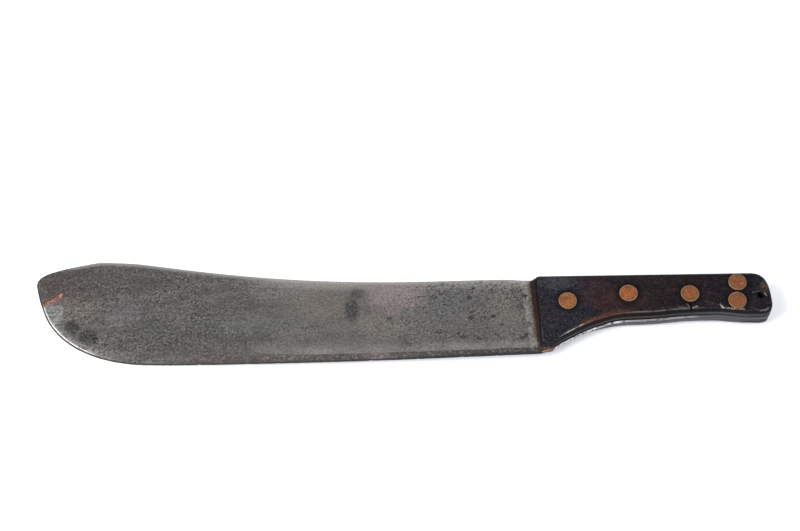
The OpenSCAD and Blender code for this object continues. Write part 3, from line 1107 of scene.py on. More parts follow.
    def wire(self, w: Canvas) -> None:
        """Lays the patina, the ground edge, the rust, the rubbed spine and the tang's edge.

        Args:
            w: the material's wiring.
        """
        pits, bare_and_sheen = self.patina(w), self.edge(w)
        rust = w.most(*(layer.mask(w) for layer in (self.heel, *self.rust, self.band[0])))
        for layer in (self.heel, *self.rust, *self.band):
            layer.lay(w)
        spine = w.all(w.step(w.held("rim"), 3.6, 0), w.across(10, 14), w.along(-482, -470))
        w.over("rubbed spine", (172, 171, 169), spine, w.along(-153.5, -156), 0.65)
        w.over("crust", (38, 28, 24), rust, w.clouds(1.2, 0.42, 0.58), 0.6)
        clean = w.most(bare_and_sheen, self.tang(w))
        metal = w.blend(w.most(rust, w.all(pits, 0.5)), 0.6, 0.1)
        w.put(w.shader.inputs["Metallic"], w.blend(clean, metal, 0.8))
        rough = w.blend(rust, w.blend(clean, w.blend(pits, 0.5, 0.66), 0.32), 0.85)
        w.send(rough, w.less(w.all(rust, w.noise(w.place, 0.8, 3)), pits), 0.05 * MM)


@dataclass(frozen=True)
class DarkWood(Finish):
    """Near-black handled wood, browner in the middle and along worn edges."""

    name: str = "dark_wood"
    sheen: float = 0.0
    tones: tuple[Mark, ...] = (
        Mark((-92, 3, 8), (58, 28, 14), (31, 19, 19), 0.85, 1.3, 10),
        Mark((-146, 3, 11), (8, 12, 4), (12, 13, 24), 0.7, 1.4, 5),
        Mark((-126, -12, 11), (14, 9, 4), (11, 14, 25), 0.8, 1.5, 5),
        Mark((-131, 8, 11), (12, 6, 4), (14, 16, 27), 0.6, 1.5, 4),
        Mark((-116, 8, 11), (12, 8, 4), (56, 34, 40), 0.7, 1.7, 4),
        Mark((-62, 9, 8), (30, 12, 14), (28, 16, 15), 0.7, 1.4, 6),
        Mark((-86, -1, 11), (12, 8, 4), (56, 34, 30), 0.6, 1.8, 3.5),
        Mark((-106, -2, 11), (19, 9, 5), (64, 36, 30), 0.8, 1.9, 3.5),
        Mark((-32, 6, 9), (18, 14, 6), (20, 10, 13), 0.6, 1.4, 6),
        Mark((-8, 3, 11), (5.5, 13, 4), (8, 9, 15), 0.75, 1.4, 4),
        Mark((3.2, 6.5, 10), (3.8, 5.6, 6), (94, 72, 66), 0.85, 1.8, 1.5),
        Mark((-140, 12.5, 11), (14, 8, 5), (84, 80, 84), 0.65, 2.0, 2.2),
    )
    strokes: tuple[Stroke, ...] = (
        Stroke((-28.8, -6.8, 11.4), (-27.0, -9.4, 11.3), 0.9, (206, 200, 194), 0.8, 2.2, 1.1, 1.0),
        Stroke((-27.4, -9.2, 11.3), (-19.6, -10.2, 11.3), 0.9, (200, 194, 188), 0.8, 2.2, 1.1, 1.0),
        Stroke((-19.6, -10.4, 11.4), (-12.6, -10.6, 11.3), 0.8, (190, 176, 156), 0.8, 2, 1.1, 0.9),
        Stroke((-51.4, -6.4, 11.4), (-49.4, -9.0, 11.4), 0.8, (124, 108, 98), 0.8, 2.2, 1.1, 0.7),
        Stroke((-48.2, -9.4, 11.4), (-44.6, -8.0, 11.4), 0.9, (176, 168, 162), 0.8, 2.2, 1.1, 0.7),
        Stroke((-57.4, -8.4, 11.4), (-52.4, -8.8, 11.4), 0.7, (140, 130, 124), 0.6, 2.4, 1.2, 0.7),
        Stroke((-49.2, -5.4, 11.4), (-48.6, -9.8, 11.3), 0.9, (4, 3, 3), 1.0, 1.0, 1.0),
        Stroke((-48.6, -9.8, 10.8), (-48.3, -10.8, 2.0), 1.1, (2, 2, 2), 1.0, 0.8, 1.0),
        Stroke((-41.5, 3.2, 11.4), (-27.0, 0.4, 11.4), 0.55, (72, 72, 84), 0.5, 1.8, 1.2, 0.8),
        Stroke((-38.0, -4.6, 11.4), (-31.6, -7.0, 11.4), 1.6, (92, 68, 66), 0.7, 2.4, 1.3, 0.85),
        # These three strokes round the lanyard hole are painted highlights on its rim.
        Stroke((-5.6, 1.6, 11.4), (-2.4, 2.9, 11.3), 0.55, (112, 108, 114), 0.7, 1.6, 1.2, 0.6),
        Stroke((-2.4, 2.9, 11.3), (-0.8, 2.4, 11.3), 0.4, (104, 100, 106), 0.7, 1.4, 1.0, 0.4),
        Stroke((2.3, 1.2, 11.3), (3.4, -0.4, 11.4), 0.6, (166, 162, 164), 0.75, 1.4, 1.0, 0.3),
        # These three strokes along the butt's lower corner are a painted highlight.
        Stroke((-8.0, -9.6, 11.2), (-1.3, -11.9, 11.0), 0.7, (96, 96, 104), 0.6, 2.2, 1.3, 0.7),
        Stroke((-1.3, -12.0, 11.0), (2.4, -11.4, 10.9), 0.8, (120, 120, 126), 0.7, 1.8, 1.2, 0.4),
        Stroke((2.4, -11.4, 10.9), (4.2, -9.6, 10.8), 0.8, (120, 120, 126), 0.7, 1.8, 1.2, 0.4),
        Stroke((-6.4, -2.6, 11.4), (-4.0, -1.9, 11.4), 0.5, (70, 66, 70), 0.6, 1.6, 1.0, 0.6),
    )

    def face(self, w: Canvas) -> tuple[Value, Value]:
        """Lays the grain, the worn patches and the scratches.

        Args:
            w: the material's wiring.

        Returns:
            The roughness and the height of the relief.
        """
        grain = w.group("grain", Place=w.place, Size=2.6)
        w.colour = w.mix(w.clouds(20, 0.38, 0.62, 2), (16, 15, 20), (22, 18, 20), "patches")
        for tone in self.tones:
            tone.lay(w)
        w.over("grain", (56, 40, 40), w.step(grain, 0.48, 0.66), 0.5)
        front = w.along(-100, -132)
        mottle = w.clouds(2.2, 0.46, 0.64, 1.6, w.moved(0.4, 0.3, 0.1))
        tint = w.mix(front, (60, 43, 43), (38, 46, 60))
        w.over("mottle", tint, mottle, w.blend(w.along(-70, -100), 0.15, 0.45))
        w.over("damp", (14, 16, 26), w.clouds(2.6, 0.48, 0.62, 2.4), 0.6)
        pores = w.step(w.group("grain", Place=w.place, Size=0.9), 0.4, 0.26)
        w.over("pores", (8, 8, 10), pores, 0.7)
        # The front third is rubbed to a fine grey speckle
        speck = w.clouds(1.05, 0.46, 0.6)
        w.over("speckle", (70, 68, 78), speck, w.blend(front, 0.2, 0.5))
        crumbs = w.clouds(1.1, 0.57, 0.66, at=w.moved(0.2, 0.1))
        w.over("crumbs", (132, 130, 140), crumbs, w.blend(front, 0.16, 0.34))
        thin = w.group("scratches", Place=w.place, Size=2.2, Width=0.008, Turn=0.5)
        cuts = w.most(thin, w.group("scratches", Place=w.place, Size=2.8, Width=0.008, Turn=2.2))
        w.over("scratches", (104, 98, 96), cuts, 0.14)
        relief = w.less(w.less(w.all(grain, 0.5), w.all(pores, 0.6)), w.all(cuts, 0.3))
        return w.blend(w.most(cuts, speck), w.blend(grain, 0.36, 0.52), 0.55), relief

    def lower_edge(self, w: Canvas, edge: Value, ragged: Value, wild: Value) -> None:
        """Wears the lower edge brown behind the foot and paints a highlight line along it.

        Args:
            w: the material's wiring.
            edge: the distance from the middle of the rounded edge.
            ragged: noise about 0.
            wild: streaks between 0 and 1.
        """
        below, depth = w.across(4, -4), w.math("ADD", edge, w.all(ragged, 9.0))
        wear = w.all(w.step(depth, 5.0, 0.8), w.step(edge, -1.2, -0.2), below, 0.85)
        russet = w.mix(w.along(-122, -112), (116, 78, 52), (98, 66, 58))
        russet = w.mix(w.all(w.clouds(1.2, 0.42, 0.6), 0.5), russet, (62, 38, 34))
        w.over("russet wear", russet, wear, w.along(-128, -118), w.along(-82, -100))
        # A painted highlight runs along the rounded lower edge of the face.
        width = w.blend(w.along(-100, -80), 0.75, 1.15)
        line = w.all(w.step(w.unsigned(w.less(edge, 0.4)), width, 0.0), below)
        faint = w.blend(w.all(w.along(-120, -115), w.along(-91, -96)), 1.0, 0.15)
        line = w.all(line, w.blend(wild, 0.2, 1.0), w.along(-140.5, -137), faint)
        keen = w.along(-117, -124)
        tint = w.mix(keen, (126, 121, 118), (214, 212, 208))
        tint = w.mix(w.along(-52, -38), tint, (60, 56, 56))
        w.over("painted edge highlight", tint, line, w.blend(keen, 0.75, 0.9))
        # A painted highlight lies on the face's front edge near the foot.
        foot = w.all(w.near(edge, 0.3, 0.6), w.along(-148.5, -150.5), w.across(-14, -24))
        w.over("painted highlight on the foot", (112, 108, 112), foot, wild, 0.6)

    def walls(self, w: Canvas, edge: Value, wild: Value) -> None:
        """Paints shade on the top of the wall, darkens the seam, and paints a highlight on the
        corner between them and a reflection towards the butt.

        Args:
            w: the material's wiring.
            edge: the distance from the middle of the rounded edge.
            wild: streaks between 0 and 1.
        """
        level, rear = w.unsigned(w.z), w.along(-40, -14)
        wall = w.all(w.step(edge, -0.6, -1.4), w.along(-141, -137))
        low, high = w.blend(rear, 5.5 * MM, 6.8 * MM), w.blend(rear, 6.8 * MM, 8.6 * MM)
        # The top of the wall is darkened as painted shade under the rounded edge.
        wall_shade = w.all(w.step(edge, -0.7, -1.6), w.step(level, low, high), 0.85)
        shade_tint = w.mix(w.along(-75, -95), (3, 3, 4), (22, 11, 6))
        w.over("wall_shade", shade_tint, wall_shade, w.along(-147, -143))
        # A painted highlight lies on the corner where the wall turns in towards the seam.
        corner = w.all(w.near(level, 5.0 * MM, 1.4 * MM), wall, w.blend(wild, 0.6, 1.0))
        w.over("painted corner highlight", (90, 89, 90), corner, w.blend(w.along(-6, -30), 0.35, 0.75))
        # Towards the butt the wall is painted lighter as a reflection of the floor.
        wall_reflection = w.all(w.near(level, 4.5 * MM, 3.5 * MM), wall, rear)
        w.over("painted wall reflection", (92, 92, 94), wall_reflection, w.blend(wild, 0.3, 0.6))
        # The wall by the seam is darkened, as dirt and as painted shade in the recess.
        seam = w.all(w.step(level, 4.1 * MM, 3.5 * MM), wall, w.blend(rear, 1.0, 0.5))
        w.over("seam", (4, 4, 5), seam, 1.0 - self.sheen)

    def wire(self, w: Canvas) -> None:
        """Lays the face, the edges, the dark rings by the rivets, the chips and the walls; adds the
        gloss.

        Args:
            w: the material's wiring.
        """
        rough, relief = self.face(w)
        edge = w.held("edge")
        ragged, wild = w.wander(w.place, 2.4, 5, 0.75), w.clouds(2, 0.4, 0.58, 2)
        self.lower_edge(w, edge, ragged, wild)
        # Darker rings round the rivets
        bore, inside = w.held("bore"), w.step(edge, -0.5, 0.5)
        halo = w.step(w.math("ADD", bore, w.all(ragged, 4.0)), 5.0, 0.5)
        w.over("halo", (10, 10, 16), halo, inside, 0.6)
        w.over("ring", (9, 7, 8), w.step(bore, 1.6, 0.1), inside, 0.7)
        for stroke in self.strokes:
            stroke.lay(w)
        # The sloping front is stained brown by the rust beside it
        slope = w.all(w.step(edge, 0.1, -0.5), w.held("front"))
        brown = w.mix(w.clouds(3, 0.3, 0.66), (68, 49, 43), (42, 32, 31))
        w.over("stained front", w.mix(w.step(edge, -5.5, -2.5), brown, (20, 14, 16)), slope, 0.9)
        self.walls(w, edge, wild)
        end = w.along(-3, -17)
        # The under scale's wall, away from the butt end, is painted paler as a reflection of the
        # floor.
        w.over("painted reflection on the wall", (58, 56, 58), w.step(edge, -1.5, -3.0), end, self.sheen, 0.7)
        butt = w.all(w.along(-70, -30), w.near(w.unsigned(w.z), 4.5 * MM, 4 * MM), 0.4)
        gloss = w.all(w.step(edge, 0.0, -2.0), w.most(butt, self.sheen), w.blend(end, 0.2, 1.0))
        w.put(w.shader.inputs["Coat Weight"], gloss)
        w.put(w.shader.inputs["Coat Roughness"], 0.3)
        w.put(w.shader.inputs["Specular IOR Level"], 0.06)
        w.send(w.blend(slope, rough, 0.8), relief, 0.1 * MM)


@dataclass(frozen=True)
class OldCopper(Finish):
    """Dull copper with a paler rim and dark spots."""

    name: str
    seed: float
    warm: Colour
    core: float = 0.0

    def wire(self, w: Canvas) -> None:
        """Lays the copper's colour, its rim and its spots.

        Args:
            w: the material's wiring.
        """
        w.read_at(w.moved(self.seed, self.seed * 0.7))
        where = w.math("ADD", w.held("ring"), w.all(w.wander(w.place, 2.6, 4, 0.75), 0.3))
        patchy = w.blend(w.clouds(4, 0.36, 0.56, at=w.moved(0.5, 0.5)), 0.3, 1.0)
        rim = w.all(w.step(where, 0.82, 0.89), patchy)
        tone = w.clouds(3.4, 0.36, 0.62)
        w.colour = w.mix(tone, self.warm, (118, 72, 42), "copper")
        ruddy = w.clouds(3, 0.46, 0.62, at=w.moved(0.7, 0.0))
        w.over("ruddy patches", (158, 78, 44), ruddy, 0.5)
        blush = w.all(w.step(where, 0.75, 0.3), w.blend(ruddy, 0.4, 1.0))
        w.over("blush", (154, 68, 40), blush, self.core)
        w.over("grit", (180, 122, 64), w.clouds(1.1, 0.48, 0.6), 0.45)
        w.over("groove", (84, 56, 40), w.near(where, 0.79, 0.06), 0.7)
        w.over("rim", (148, 124, 96), rim, 0.8)
        spots = w.clouds(1.2, 0.5, 0.66, at=w.moved(0.3, 0.1))
        w.over("spots", (84, 58, 44), spots, 0.5)
        # The outermost edge of the head is darker.
        w.over("darker outer edge", (34, 26, 23), w.step(where, 0.97, 1.03), 0.85)
        w.put(w.shader.inputs["Metallic"], 0.45)
        rough = w.blend(w.most(rim, spots), 0.48, 0.68)
        w.send(rough, w.less(w.all(tone, 0.5), spots), 0.05 * MM)


def dress(piece: bpy.types.Object, node: str, finish: Finish) -> None:
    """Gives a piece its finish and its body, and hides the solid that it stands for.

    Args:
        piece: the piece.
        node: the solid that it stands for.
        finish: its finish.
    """
    piece.data.materials.clear()
    piece.data.materials.append(finish.make())
    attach(piece, BODY)
    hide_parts(node)
    LOG.info("%s: %d faces", piece.name, len(piece.data.polygons))


# The blade


@dataclass
class Blade:
    """The blade and its full tang, one piece of steel.

    The keen edge is the first part of the bevel: keen is its width, knee its share of the levels
    and knee_rise its share of the rise. Chips and pits are rows of x, y, radius and depth.
    """

    length: float = 345.9
    tip_half: float = 1.1
    edge_half: float = 0.25
    spine_break: float = 0.35
    pitch: float = 1.15
    spacing: float = 1.25
    hole_points: int = 48
    keen: float = 0.8
    knee: float = 0.2
    knee_rise: float = 0.3
    bevel_levels: tuple[float, ...] = (0.0, 0.1, 0.2, 0.4, 0.6, 0.8, 0.93, 1.0)
    chips: tuple[tuple[float, ...], ...] = (
        (-384.6, 0, 0.9, 0.5), (-352, 0, 1.2, 0.25), (-331, 0, 0.8, 0.3), (-268, 0, 1.0, 0.3),
        (-236, 0, 0.8, 0.25), (-206, 0, 1.1, 0.3), (-418, 0, 1.0, 0.2), (-182, 0, 0.8, 0.2),
    )
    pits: tuple[tuple[float, ...], ...] = (
        (-473.5, -12.5, 4, 0.12), (-461, -22.5, 6, 0.14), (-255, -27.5, 3.5, 0.1),
    )

    def knots(self) -> list[Knot]:
        """Knots of the blade's outline: the edge, the tang and the spine.

        Returns:
            The knots, counterclockwise from the tip.
        """
        tip = -GRIP.reach - self.length
        soft = self.spine_break
        edge = [
            Knot(tip, 20.3, 280.5, 0.45, 0.5, 2.0, 0),
            Knot(tip + 110.9, -41.1, 0, 0.31, 0.4, 9.5, 0),
            Knot(-315.15, -40.69, 0.6, 0.4, 0.4, 5.2, 0),
            Knot(-GRIP.reach + 0.11, -36.8, 1.5, 0.4, 0.3, 4.2, 0),
            Knot(-147, -35.3, 10, 0.3, 0.4, 2.1, 0.3),
            Knot(-143.4, -33.6, 48, 0.45, 0.4, soft, 1),
        ]
        tang = [*GRIP.underside((soft, soft, soft), 1), Knot(-6.3, 18.6, 180, 0.42, 0, soft, 1)]
        spine = [
            Knot(-GRIP.reach, GRIP.back_rise, 180, 0, 0.6, soft, 1),
            Knot(-GRIP.reach - 88.9, 18, 180, 0.3, 0.57, soft, 1),
            Knot(tip + 40.2, 37.7, 186.7, 0.11, 0.05, soft, 1),
            Knot(tip + 7.9, 29.9, 202, 0.31, 0.3, 2 * soft, 1),
        ]
        return edge + tang + spine

    def stock(self, x: Array) -> Array:
        """Half the thickness at x: even over the tang, and thinner towards the tip."""
        taper = (GRIP.tang_half - self.tip_half) / self.length
        return GRIP.tang_half - np.maximum(0, -GRIP.reach - x) * taper

    def spread(self, ring: Array) -> Array:
        """An outline of the blade moved out by up to 1.1 mm along the belly and the spine.

        Args:
            ring: the outline's points, as rows that start with x and y.

        Returns:
            The moved outline.
        """
        x, y = ring[:, 0], ring[:, 1]
        belly = 0.8 * smooth(x, -405, -440) * smooth(y, 8, -12)
        spine = 1.1 * smooth(x, -158, -176) * smooth(x, -452, -425) * smooth(y, 8, 16)
        moved = ring.copy()
        moved[:, :2] -= inward(ring[:, :2]) * np.maximum(belly, spine)[:, None]
        return moved

    def nicks(self, ring: Array) -> Array:
        """How far small nicks and wear set the edge back at each point of the rim.

        Args:
            ring: the rim, as rows of x, y, width and height.

        Returns:
            One distance per point.
        """
        edge = (ring[:, 3] < 0.5).astype(float)
        back = 0.06 * np.maximum(0.1, 1 + ripples(ring[:, :2], 9, seed=3)) * edge
        return back + dents(ring, self.chips, 0) * edge * (ring[:, 1] < -20)

    def build(self) -> bpy.types.Object:
        """Builds the closed blade.

        The top of the edge is a stack of rings between the rim and the inner side of the bevel,
        at height rim + (stock - rim) f(t). On the cutting edge f rises steeply over the keen edge
        and gently over the rest of the bevel, and on the spine it is a quarter round. The flat
        faces are lattices with the holes left open.

        Returns:
            The blade's object.
        """
        knots = self.knots()
        steps = steps_along(knots, self.spacing)
        rim = self.spread(GRIP.leaning(traced(knots, steps), 0))
        flat = self.spread(GRIP.leaning(traced([knot.moved_in() for knot in knots], steps), 0))
        kind = rim[:, 3]
        away = inward(rim[:, :2])
        wobble = 0.25 * ripples(rim[:, :2], 16, seed=5) * (kind < 0.2)
        outer = rim[:, :2] + away * self.nicks(rim)[:, None]
        inner = flat[:, :2] + away * wobble[:, None]
        thin = self.edge_half + kind * (self.stock(rim[:, 0]) - self.spine_break - self.edge_half)
        width = np.linalg.norm(inner - outer, axis=1)
        keen = np.minimum(self.keen / width, 0.45) * (1 - kind)
        rings = []
        for t in self.bevel_levels:
            steep, gentle = min(1, t / self.knee), max(0, t - self.knee) / (1 - self.knee)
            share = keen * steep + (1 - keen) * gentle
            share = share + kind * (t - share)
            place = outer + share[:, None] * (inner - outer)
            ground = self.knee_rise * steep + (1 - self.knee_rise) * gentle
            broken = math.sqrt(1 - (1 - t) ** 2)
            rise = ground + kind * (broken - ground)
            rings.append((place, thin + (self.stock(place[:, 0]) - thin) * rise))
        shell = Shell()
        down = [raised(place, -z) for place, z in reversed(rings)]
        up = [raised(place, z) for place, z in rings]
        shell.loft(down + up)
        wide = GRIP.shank_radius + GRIP.gap
        bores = [circle(at, wide, self.hole_points) for at in GRIP.places]
        bores.append(circle((0, 0), GRIP.hole_radius, self.hole_points))
        plan, faces = filled([rings[-1][0], *bores], self.pitch)
        top = self.stock(plan[:, 0])
        shell.patch(raised(plan, top), faces)
        shell.patch(raised(plan, -top), faces[:, ::-1])
        for bore in bores:
            shell.loft([raised(bore, GRIP.tang_half), raised(bore, -GRIP.tang_half)])
        piece = shell.object("blade_steel_body")
        self.wear(piece, rim[:, :2], kind)
        shade(piece, 30)
        return piece

    def wear(self, piece: bpy.types.Object, rim: Array, kind: Array) -> None:
        """Bends the faces slightly in and out, and stores what the finish reads.

        Args:
            piece: the blade.
            rim: the outline in the plan.
            kind: 0 where the outline is ground to an edge and 1 on full stock.
        """
        points = points_of(piece)
        far, near, _ = ring_distance(points[:, :2], rim)
        free = smooth(-points[:, 0], GRIP.reach + 4, GRIP.reach + 30)
        body = smooth(far, 2, 14) * free
        side = np.sign(points[:, 2])
        sink = 0.05 * (1 + ripples(points[:, :2] + side[:, None] * 500, 34, seed=11))
        sink += 0.015 * (1 + ripples(points[:, :2] - side[:, None] * 500, 8, seed=12))
        sink += dents(points, self.pits) * (side > 0)
        points[:, 2] -= side * sink * body
        move_points(piece, points)
        keep_values(piece, "rim", far)
        wide = traced(self.knots(), steps_along(self.knots(), self.spacing))[:, 2][near]
        keep_values(piece, "ground", np.where(kind[near] < 0.5, np.minimum(4, far / wide), 4))


# The scales


class Side(Enum):
    """The two sides of the grip."""

    LEFT = 1
    RIGHT = -1


@dataclass
class Scale:
    """One of the two grip scales, worked as if it lay seam down and then turned to its side.

    Places worn by the hand and dips in the face are rows of x, y, radius and depth, lips are rows
    of radius beyond the bore and depth below the face, and chips are rows of x, y and size.
    """

    side: Side
    rounds: tuple[float, float, float]
    wear: tuple[float, float]
    seat: float
    bore: float
    pitch: float = 0.85
    back_round: float = 5.0
    front_round: float = 1.0
    seam_round: float = 2.2
    mouth_round: float = 0.8
    hole_points: int = 64
    seam_angles: tuple[float, ...] = (0, 15, 30, 45, 60, 75, 90)
    walls: tuple[float, ...] = (0.1, 0.25, 0.4, 0.55, 0.7, 0.85, 1.0)
    face_angles: tuple[float, ...] = (8, 16, 24, 32, 40)
    lips: tuple[tuple[float, float], ...] = ((0, 0.22), (0.03, 0.1), (0.12, 0.0))
    worn: tuple[tuple[float, ...], ...] = (
        (-112, 0, 13, 0.5), (-86, 0, 9, 0.2), (-63, 0, 8, 0.2), (-35, 0, 10, 0.25), (-5, 0, 9, 0.3),
    )
    dips: tuple[tuple[float, ...], ...] = (
        (-112, -11, 9, 0.35), (-140, 14, 6, 0.12), (-72, 8, 12, 0.12),
    )
    left_chips: tuple[Point, ...] = (
        (-28.0, -10.3, 0.4), (-24.4, -10.6, 0.45), (-20.6, -11.1, 0.4), (-16.0, -11.6, 0.45),
        (-13.2, -11.8, 0.35), (-51.0, -9.2, 0.4), (-46.6, -9.4, 0.4), (-35.0, -9.6, 0.35),
        (-104.5, -13.4, 0.5), (-119.4, -18.8, 0.45), (-133.5, -26.2, 0.35), (-3.5, -12.2, 0.45),
    )
    right_chips: tuple[Point, ...] = (
        (-118, -16.5, 0.7), (-64, -9.9, 0.5), (-30, -9.4, 0.6), (-142, -27, 0.7),
    )
    thick: float = GRIP.half - GRIP.tang_half

    def knots(self, level: float) -> list[Knot]:
        """Knots of the scale's outline, at a level between the seam at 0 and the face at 1.

        Args:
            level: the level.

        Returns:
            The knots, counterclockwise from the foot.
        """
        top_x = 3.6 * level - GRIP.reach - 4.4
        foot_x = 1.2 * level - GRIP.reach
        foot_y, back_y = -31.8, GRIP.back_rise
        tilt = math.degrees(math.atan2(foot_y - back_y, foot_x - top_x))
        bend = 2.5 + 5 * level
        corner = bend * (foot_x - top_x) / (back_y - foot_y)
        front, belly = self.front_round, self.rounds[0]
        return [
            Knot(foot_x, foot_y + 1.8, tilt, 0, 0.55, front),
            Knot(foot_x + 1.8, foot_y - 0.6, 0, 0.55, 0.5, belly),
            *GRIP.underside(self.rounds, 0, self.wear),
            Knot(-GRIP.crown_run, back_y, 180, 0.42, 0, self.back_round),
            Knot(top_x + bend, back_y, 180, 0, 0.5, self.back_round),
            Knot(top_x + corner, back_y - bend, tilt, 0.5, 0, front),
        ]

    def outline(self, level: float) -> Array:
        """The scale's outline at a level, as rows of x, y, width and height."""
        steps = steps_along(self.knots(0), 1.0)
        return GRIP.leaning(traced(self.knots(level), steps), level)

    def recess(self, seam: Array) -> Array:
        """How far the wall draws in at the seam: most along the hollow of the underside.

        Args:
            seam: the seam's outline.

        Returns:
            One distance per point.
        """
        under = smooth(inward(seam)[:, 1], 0.5, 0.85) * smooth(seam[:, 0], -147, -140)
        deep = 0.6 if self.side is Side.LEFT else 0.1
        return 0.3 + deep * under * smooth(seam[:, 0], -34, -56)

    def face(self, plan: Array, rim: Array, rounds: Array) -> Array:
        """Height of the rounded face over the seam at places in the plan.

        Within a radius r of the rim it is thick - r + sqrt(r^2 - (r - d)^2), where d is the
        distance from the rim, and beyond that it is the full thickness.

        Args:
            plan: the places.
            rim: the face's outline.
            rounds: the radius at each of its points.

        Returns:
            One height per place.
        """
        far, near, _ = ring_distance(plan, rim)
        r = rounds[near]
        rise = np.sqrt(np.maximum(0, r**2 - np.maximum(0, r - far) ** 2))
        return self.thick - r + rise

    def build(self) -> bpy.types.Object:
        """Builds the closed scale.

        Its walls are rings from the seam up, each between the seam's outline and the face's.
        The rounding follows as rings r (1 - cos a) inwards and r (1 - sin a) below the face, up
        to 40 degrees, and the face is a lattice over the rest.

        Returns:
            The scale's object.
        """
        seam, top = self.outline(0), self.outline(1)
        rounds = seam[:, 2]
        away = inward(seam[:, :2])
        recess = self.recess(seam[:, :2])
        rows = []
        for turn in map(math.radians, self.seam_angles):
            rows.append((self.seam_round * (1 - math.cos(turn)), recess * (1 - math.sin(turn))))
        for share in self.walls:
            rows.append((self.seam_round + share * (self.thick - rounds - self.seam_round), 0))
        for turn in map(math.radians, self.face_angles):
            height = self.thick - rounds * (1 - math.sin(turn))
            rows.append((height, rounds * (1 - math.cos(turn))))
        rings = []
        for height, back in rows:
            lean = np.broadcast_to(height / self.thick, len(seam))[:, None]
            back = np.broadcast_to(back, len(seam))[:, None]
            rings.append(raised(seam[:, :2] + (top - seam)[:, :2] * lean + away * back, height))
        shell = Shell()
        shell.loft(rings)
        rim = top[:, :2]
        holes = self.holes(rim, rounds)
        plan, faces = filled([rings[-1][:, :2], *(hole[-1][:, :2] for hole in holes)], self.pitch)
        height = self.face(plan, rim, rounds)
        count = len(rings[-1])
        height[:count] = rings[-1][:, 2]
        start = count
        for hole in holes:
            height[start : start + len(hole[-1])] = hole[-1][:, 2]
            start += len(hole[-1])
            shell.loft(hole[::-1])
        shell.patch(raised(plan, height), faces)
        plan, faces = filled([rings[0][:, :2], *(hole[0][:, :2] for hole in holes)], 6.0)
        shell.patch(raised(plan, 0.0), faces[:, ::-1])
        piece = shell.object("scale_" + self.side.name.lower() + "_wood")
        self.cut_marks(piece)
        self.finish(piece, rim)
        return piece

    def holes(self, rim: Array, rounds: Array) -> list[list[Array]]:
        """The rings of every hole, from the seam up.

        Args:
            rim: the face's outline.
            rounds: the radius at each of its points.

        Returns:
            For each hole, its rings.
        """
        made = []
        seat, wide = self.seat - GRIP.tang_half, self.bore + GRIP.gap
        for at in GRIP.places:
            shank = circle(at, GRIP.shank_radius + GRIP.gap, self.hole_points)
            floor = [raised(shank, 0.0), raised(shank, seat)]
            floor.append(raised(circle(at, wide, self.hole_points), seat))
            for more, below in self.lips:
                ring = circle(at, wide + more, self.hole_points)
                floor.append(raised(ring, self.face(ring, rim, rounds) - below))
            made.append(floor)
        mouth = [raised(circle((0, 0), GRIP.hole_radius, self.hole_points), 0.0)]
        for angle in (0, 18, 36, 54, 72, 90):
            turn = math.radians(angle)
            ring = circle((0, 0), GRIP.hole_radius + 1 - math.cos(turn), self.hole_points)
            mouth.append(raised(ring, self.thick - self.mouth_round * (1 - math.sin(turn))))
        return [*made, mouth]

    def cut_marks(self, piece: bpy.types.Object) -> None:
        """Cuts the crack and the chips that the scale's lower edge has.

        Args:
            piece: the scale, seam down.
        """
        shell = Shell()
        left = self.side is Side.LEFT
        draw = np.random.default_rng(7 if left else 8)
        if left:
            shell.patch(*self.crack())
        for x, y, size in self.left_chips if left else self.right_chips:
            shell.patch(*self.chip(x, y, size, draw))
        cut(piece, shell.object("cuts"))

    def chip(
        self, x: float, y: float, size: float, draw: np.random.Generator
    ) -> tuple[Array, Array]:
        """A small uneven lump that takes a chip out of the lower edge of the face.

        It is a grid of 8 by 12 over a sphere, drawn out along X and made uneven by ripples.

        Args:
            x: the chip's place along the grip.
            y: its place across the grip.
            size: its half length in millimetres.
            draw: gives the chip its shape.

        Returns:
            The lump's points and faces.
        """
        level, turn = np.meshgrid(
            np.linspace(0, math.pi, 8), np.arange(12) * 2 * math.pi / 12, indexing="ij"
        )
        around = [np.sin(level) * np.cos(turn), np.sin(level) * np.sin(turn), np.cos(level)]
        ball = np.stack(around, -1).reshape(-1, 3)
        ball *= (1 + 0.22 * ripples(ball, 1.2, int(draw.integers(1000))))[:, None]
        stretch = np.array([draw.uniform(1.4, 2.4), 0.8, 0.6]) * size
        here = np.arange(7)[:, None] * 12 + np.arange(12)
        there = np.arange(7)[:, None] * 12 + (np.arange(12) + 1) % 12
        quads = np.stack([here, here + 12, there + 12, there], -1).reshape(-1, 4)
        return ball * stretch + np.array([x, y, self.thick - 0.15]), quads

    def crack(self) -> tuple[Array, Array]:
        """A thin wedge along the crack under the third rivet, which opens the wall to the seam.

        At each of its stations the wedge is a triangle, wide above the face and sharp below it.
        It deepens from the rivet to the wall, and the line through the stations wanders.

        Returns:
            The wedge's points and faces.
        """
        share = np.linspace(0, 1, 16)
        y = -5.0 - share * 6.4
        x = -48.9 + 0.5 * share + 0.2 * np.sin(9 * share) + 0.1 * np.sin(23 * share)
        half = 0.05 + 0.28 * share
        deep = 0.3 + 9.2 * share**4
        rows = [
            np.column_stack([x - half, y, np.full(16, self.thick + 0.6)]),
            np.column_stack([x + half, y, np.full(16, self.thick + 0.6)]),
            np.column_stack([x, y, self.thick - deep]),
        ]
        points = np.stack(rows, 1).reshape(-1, 3)
        here = np.arange(15)[:, None] * 3 + np.arange(3)
        there = np.arange(15)[:, None] * 3 + (np.arange(3) + 1) % 3
        tris = np.concatenate([
            np.stack([here, there, there + 3], -1).reshape(-1, 3),
            np.stack([here, there + 3, here + 3], -1).reshape(-1, 3),
            [[0, 2, 1], [45, 46, 47]],
        ])
        return points, tris[:, ::-1]

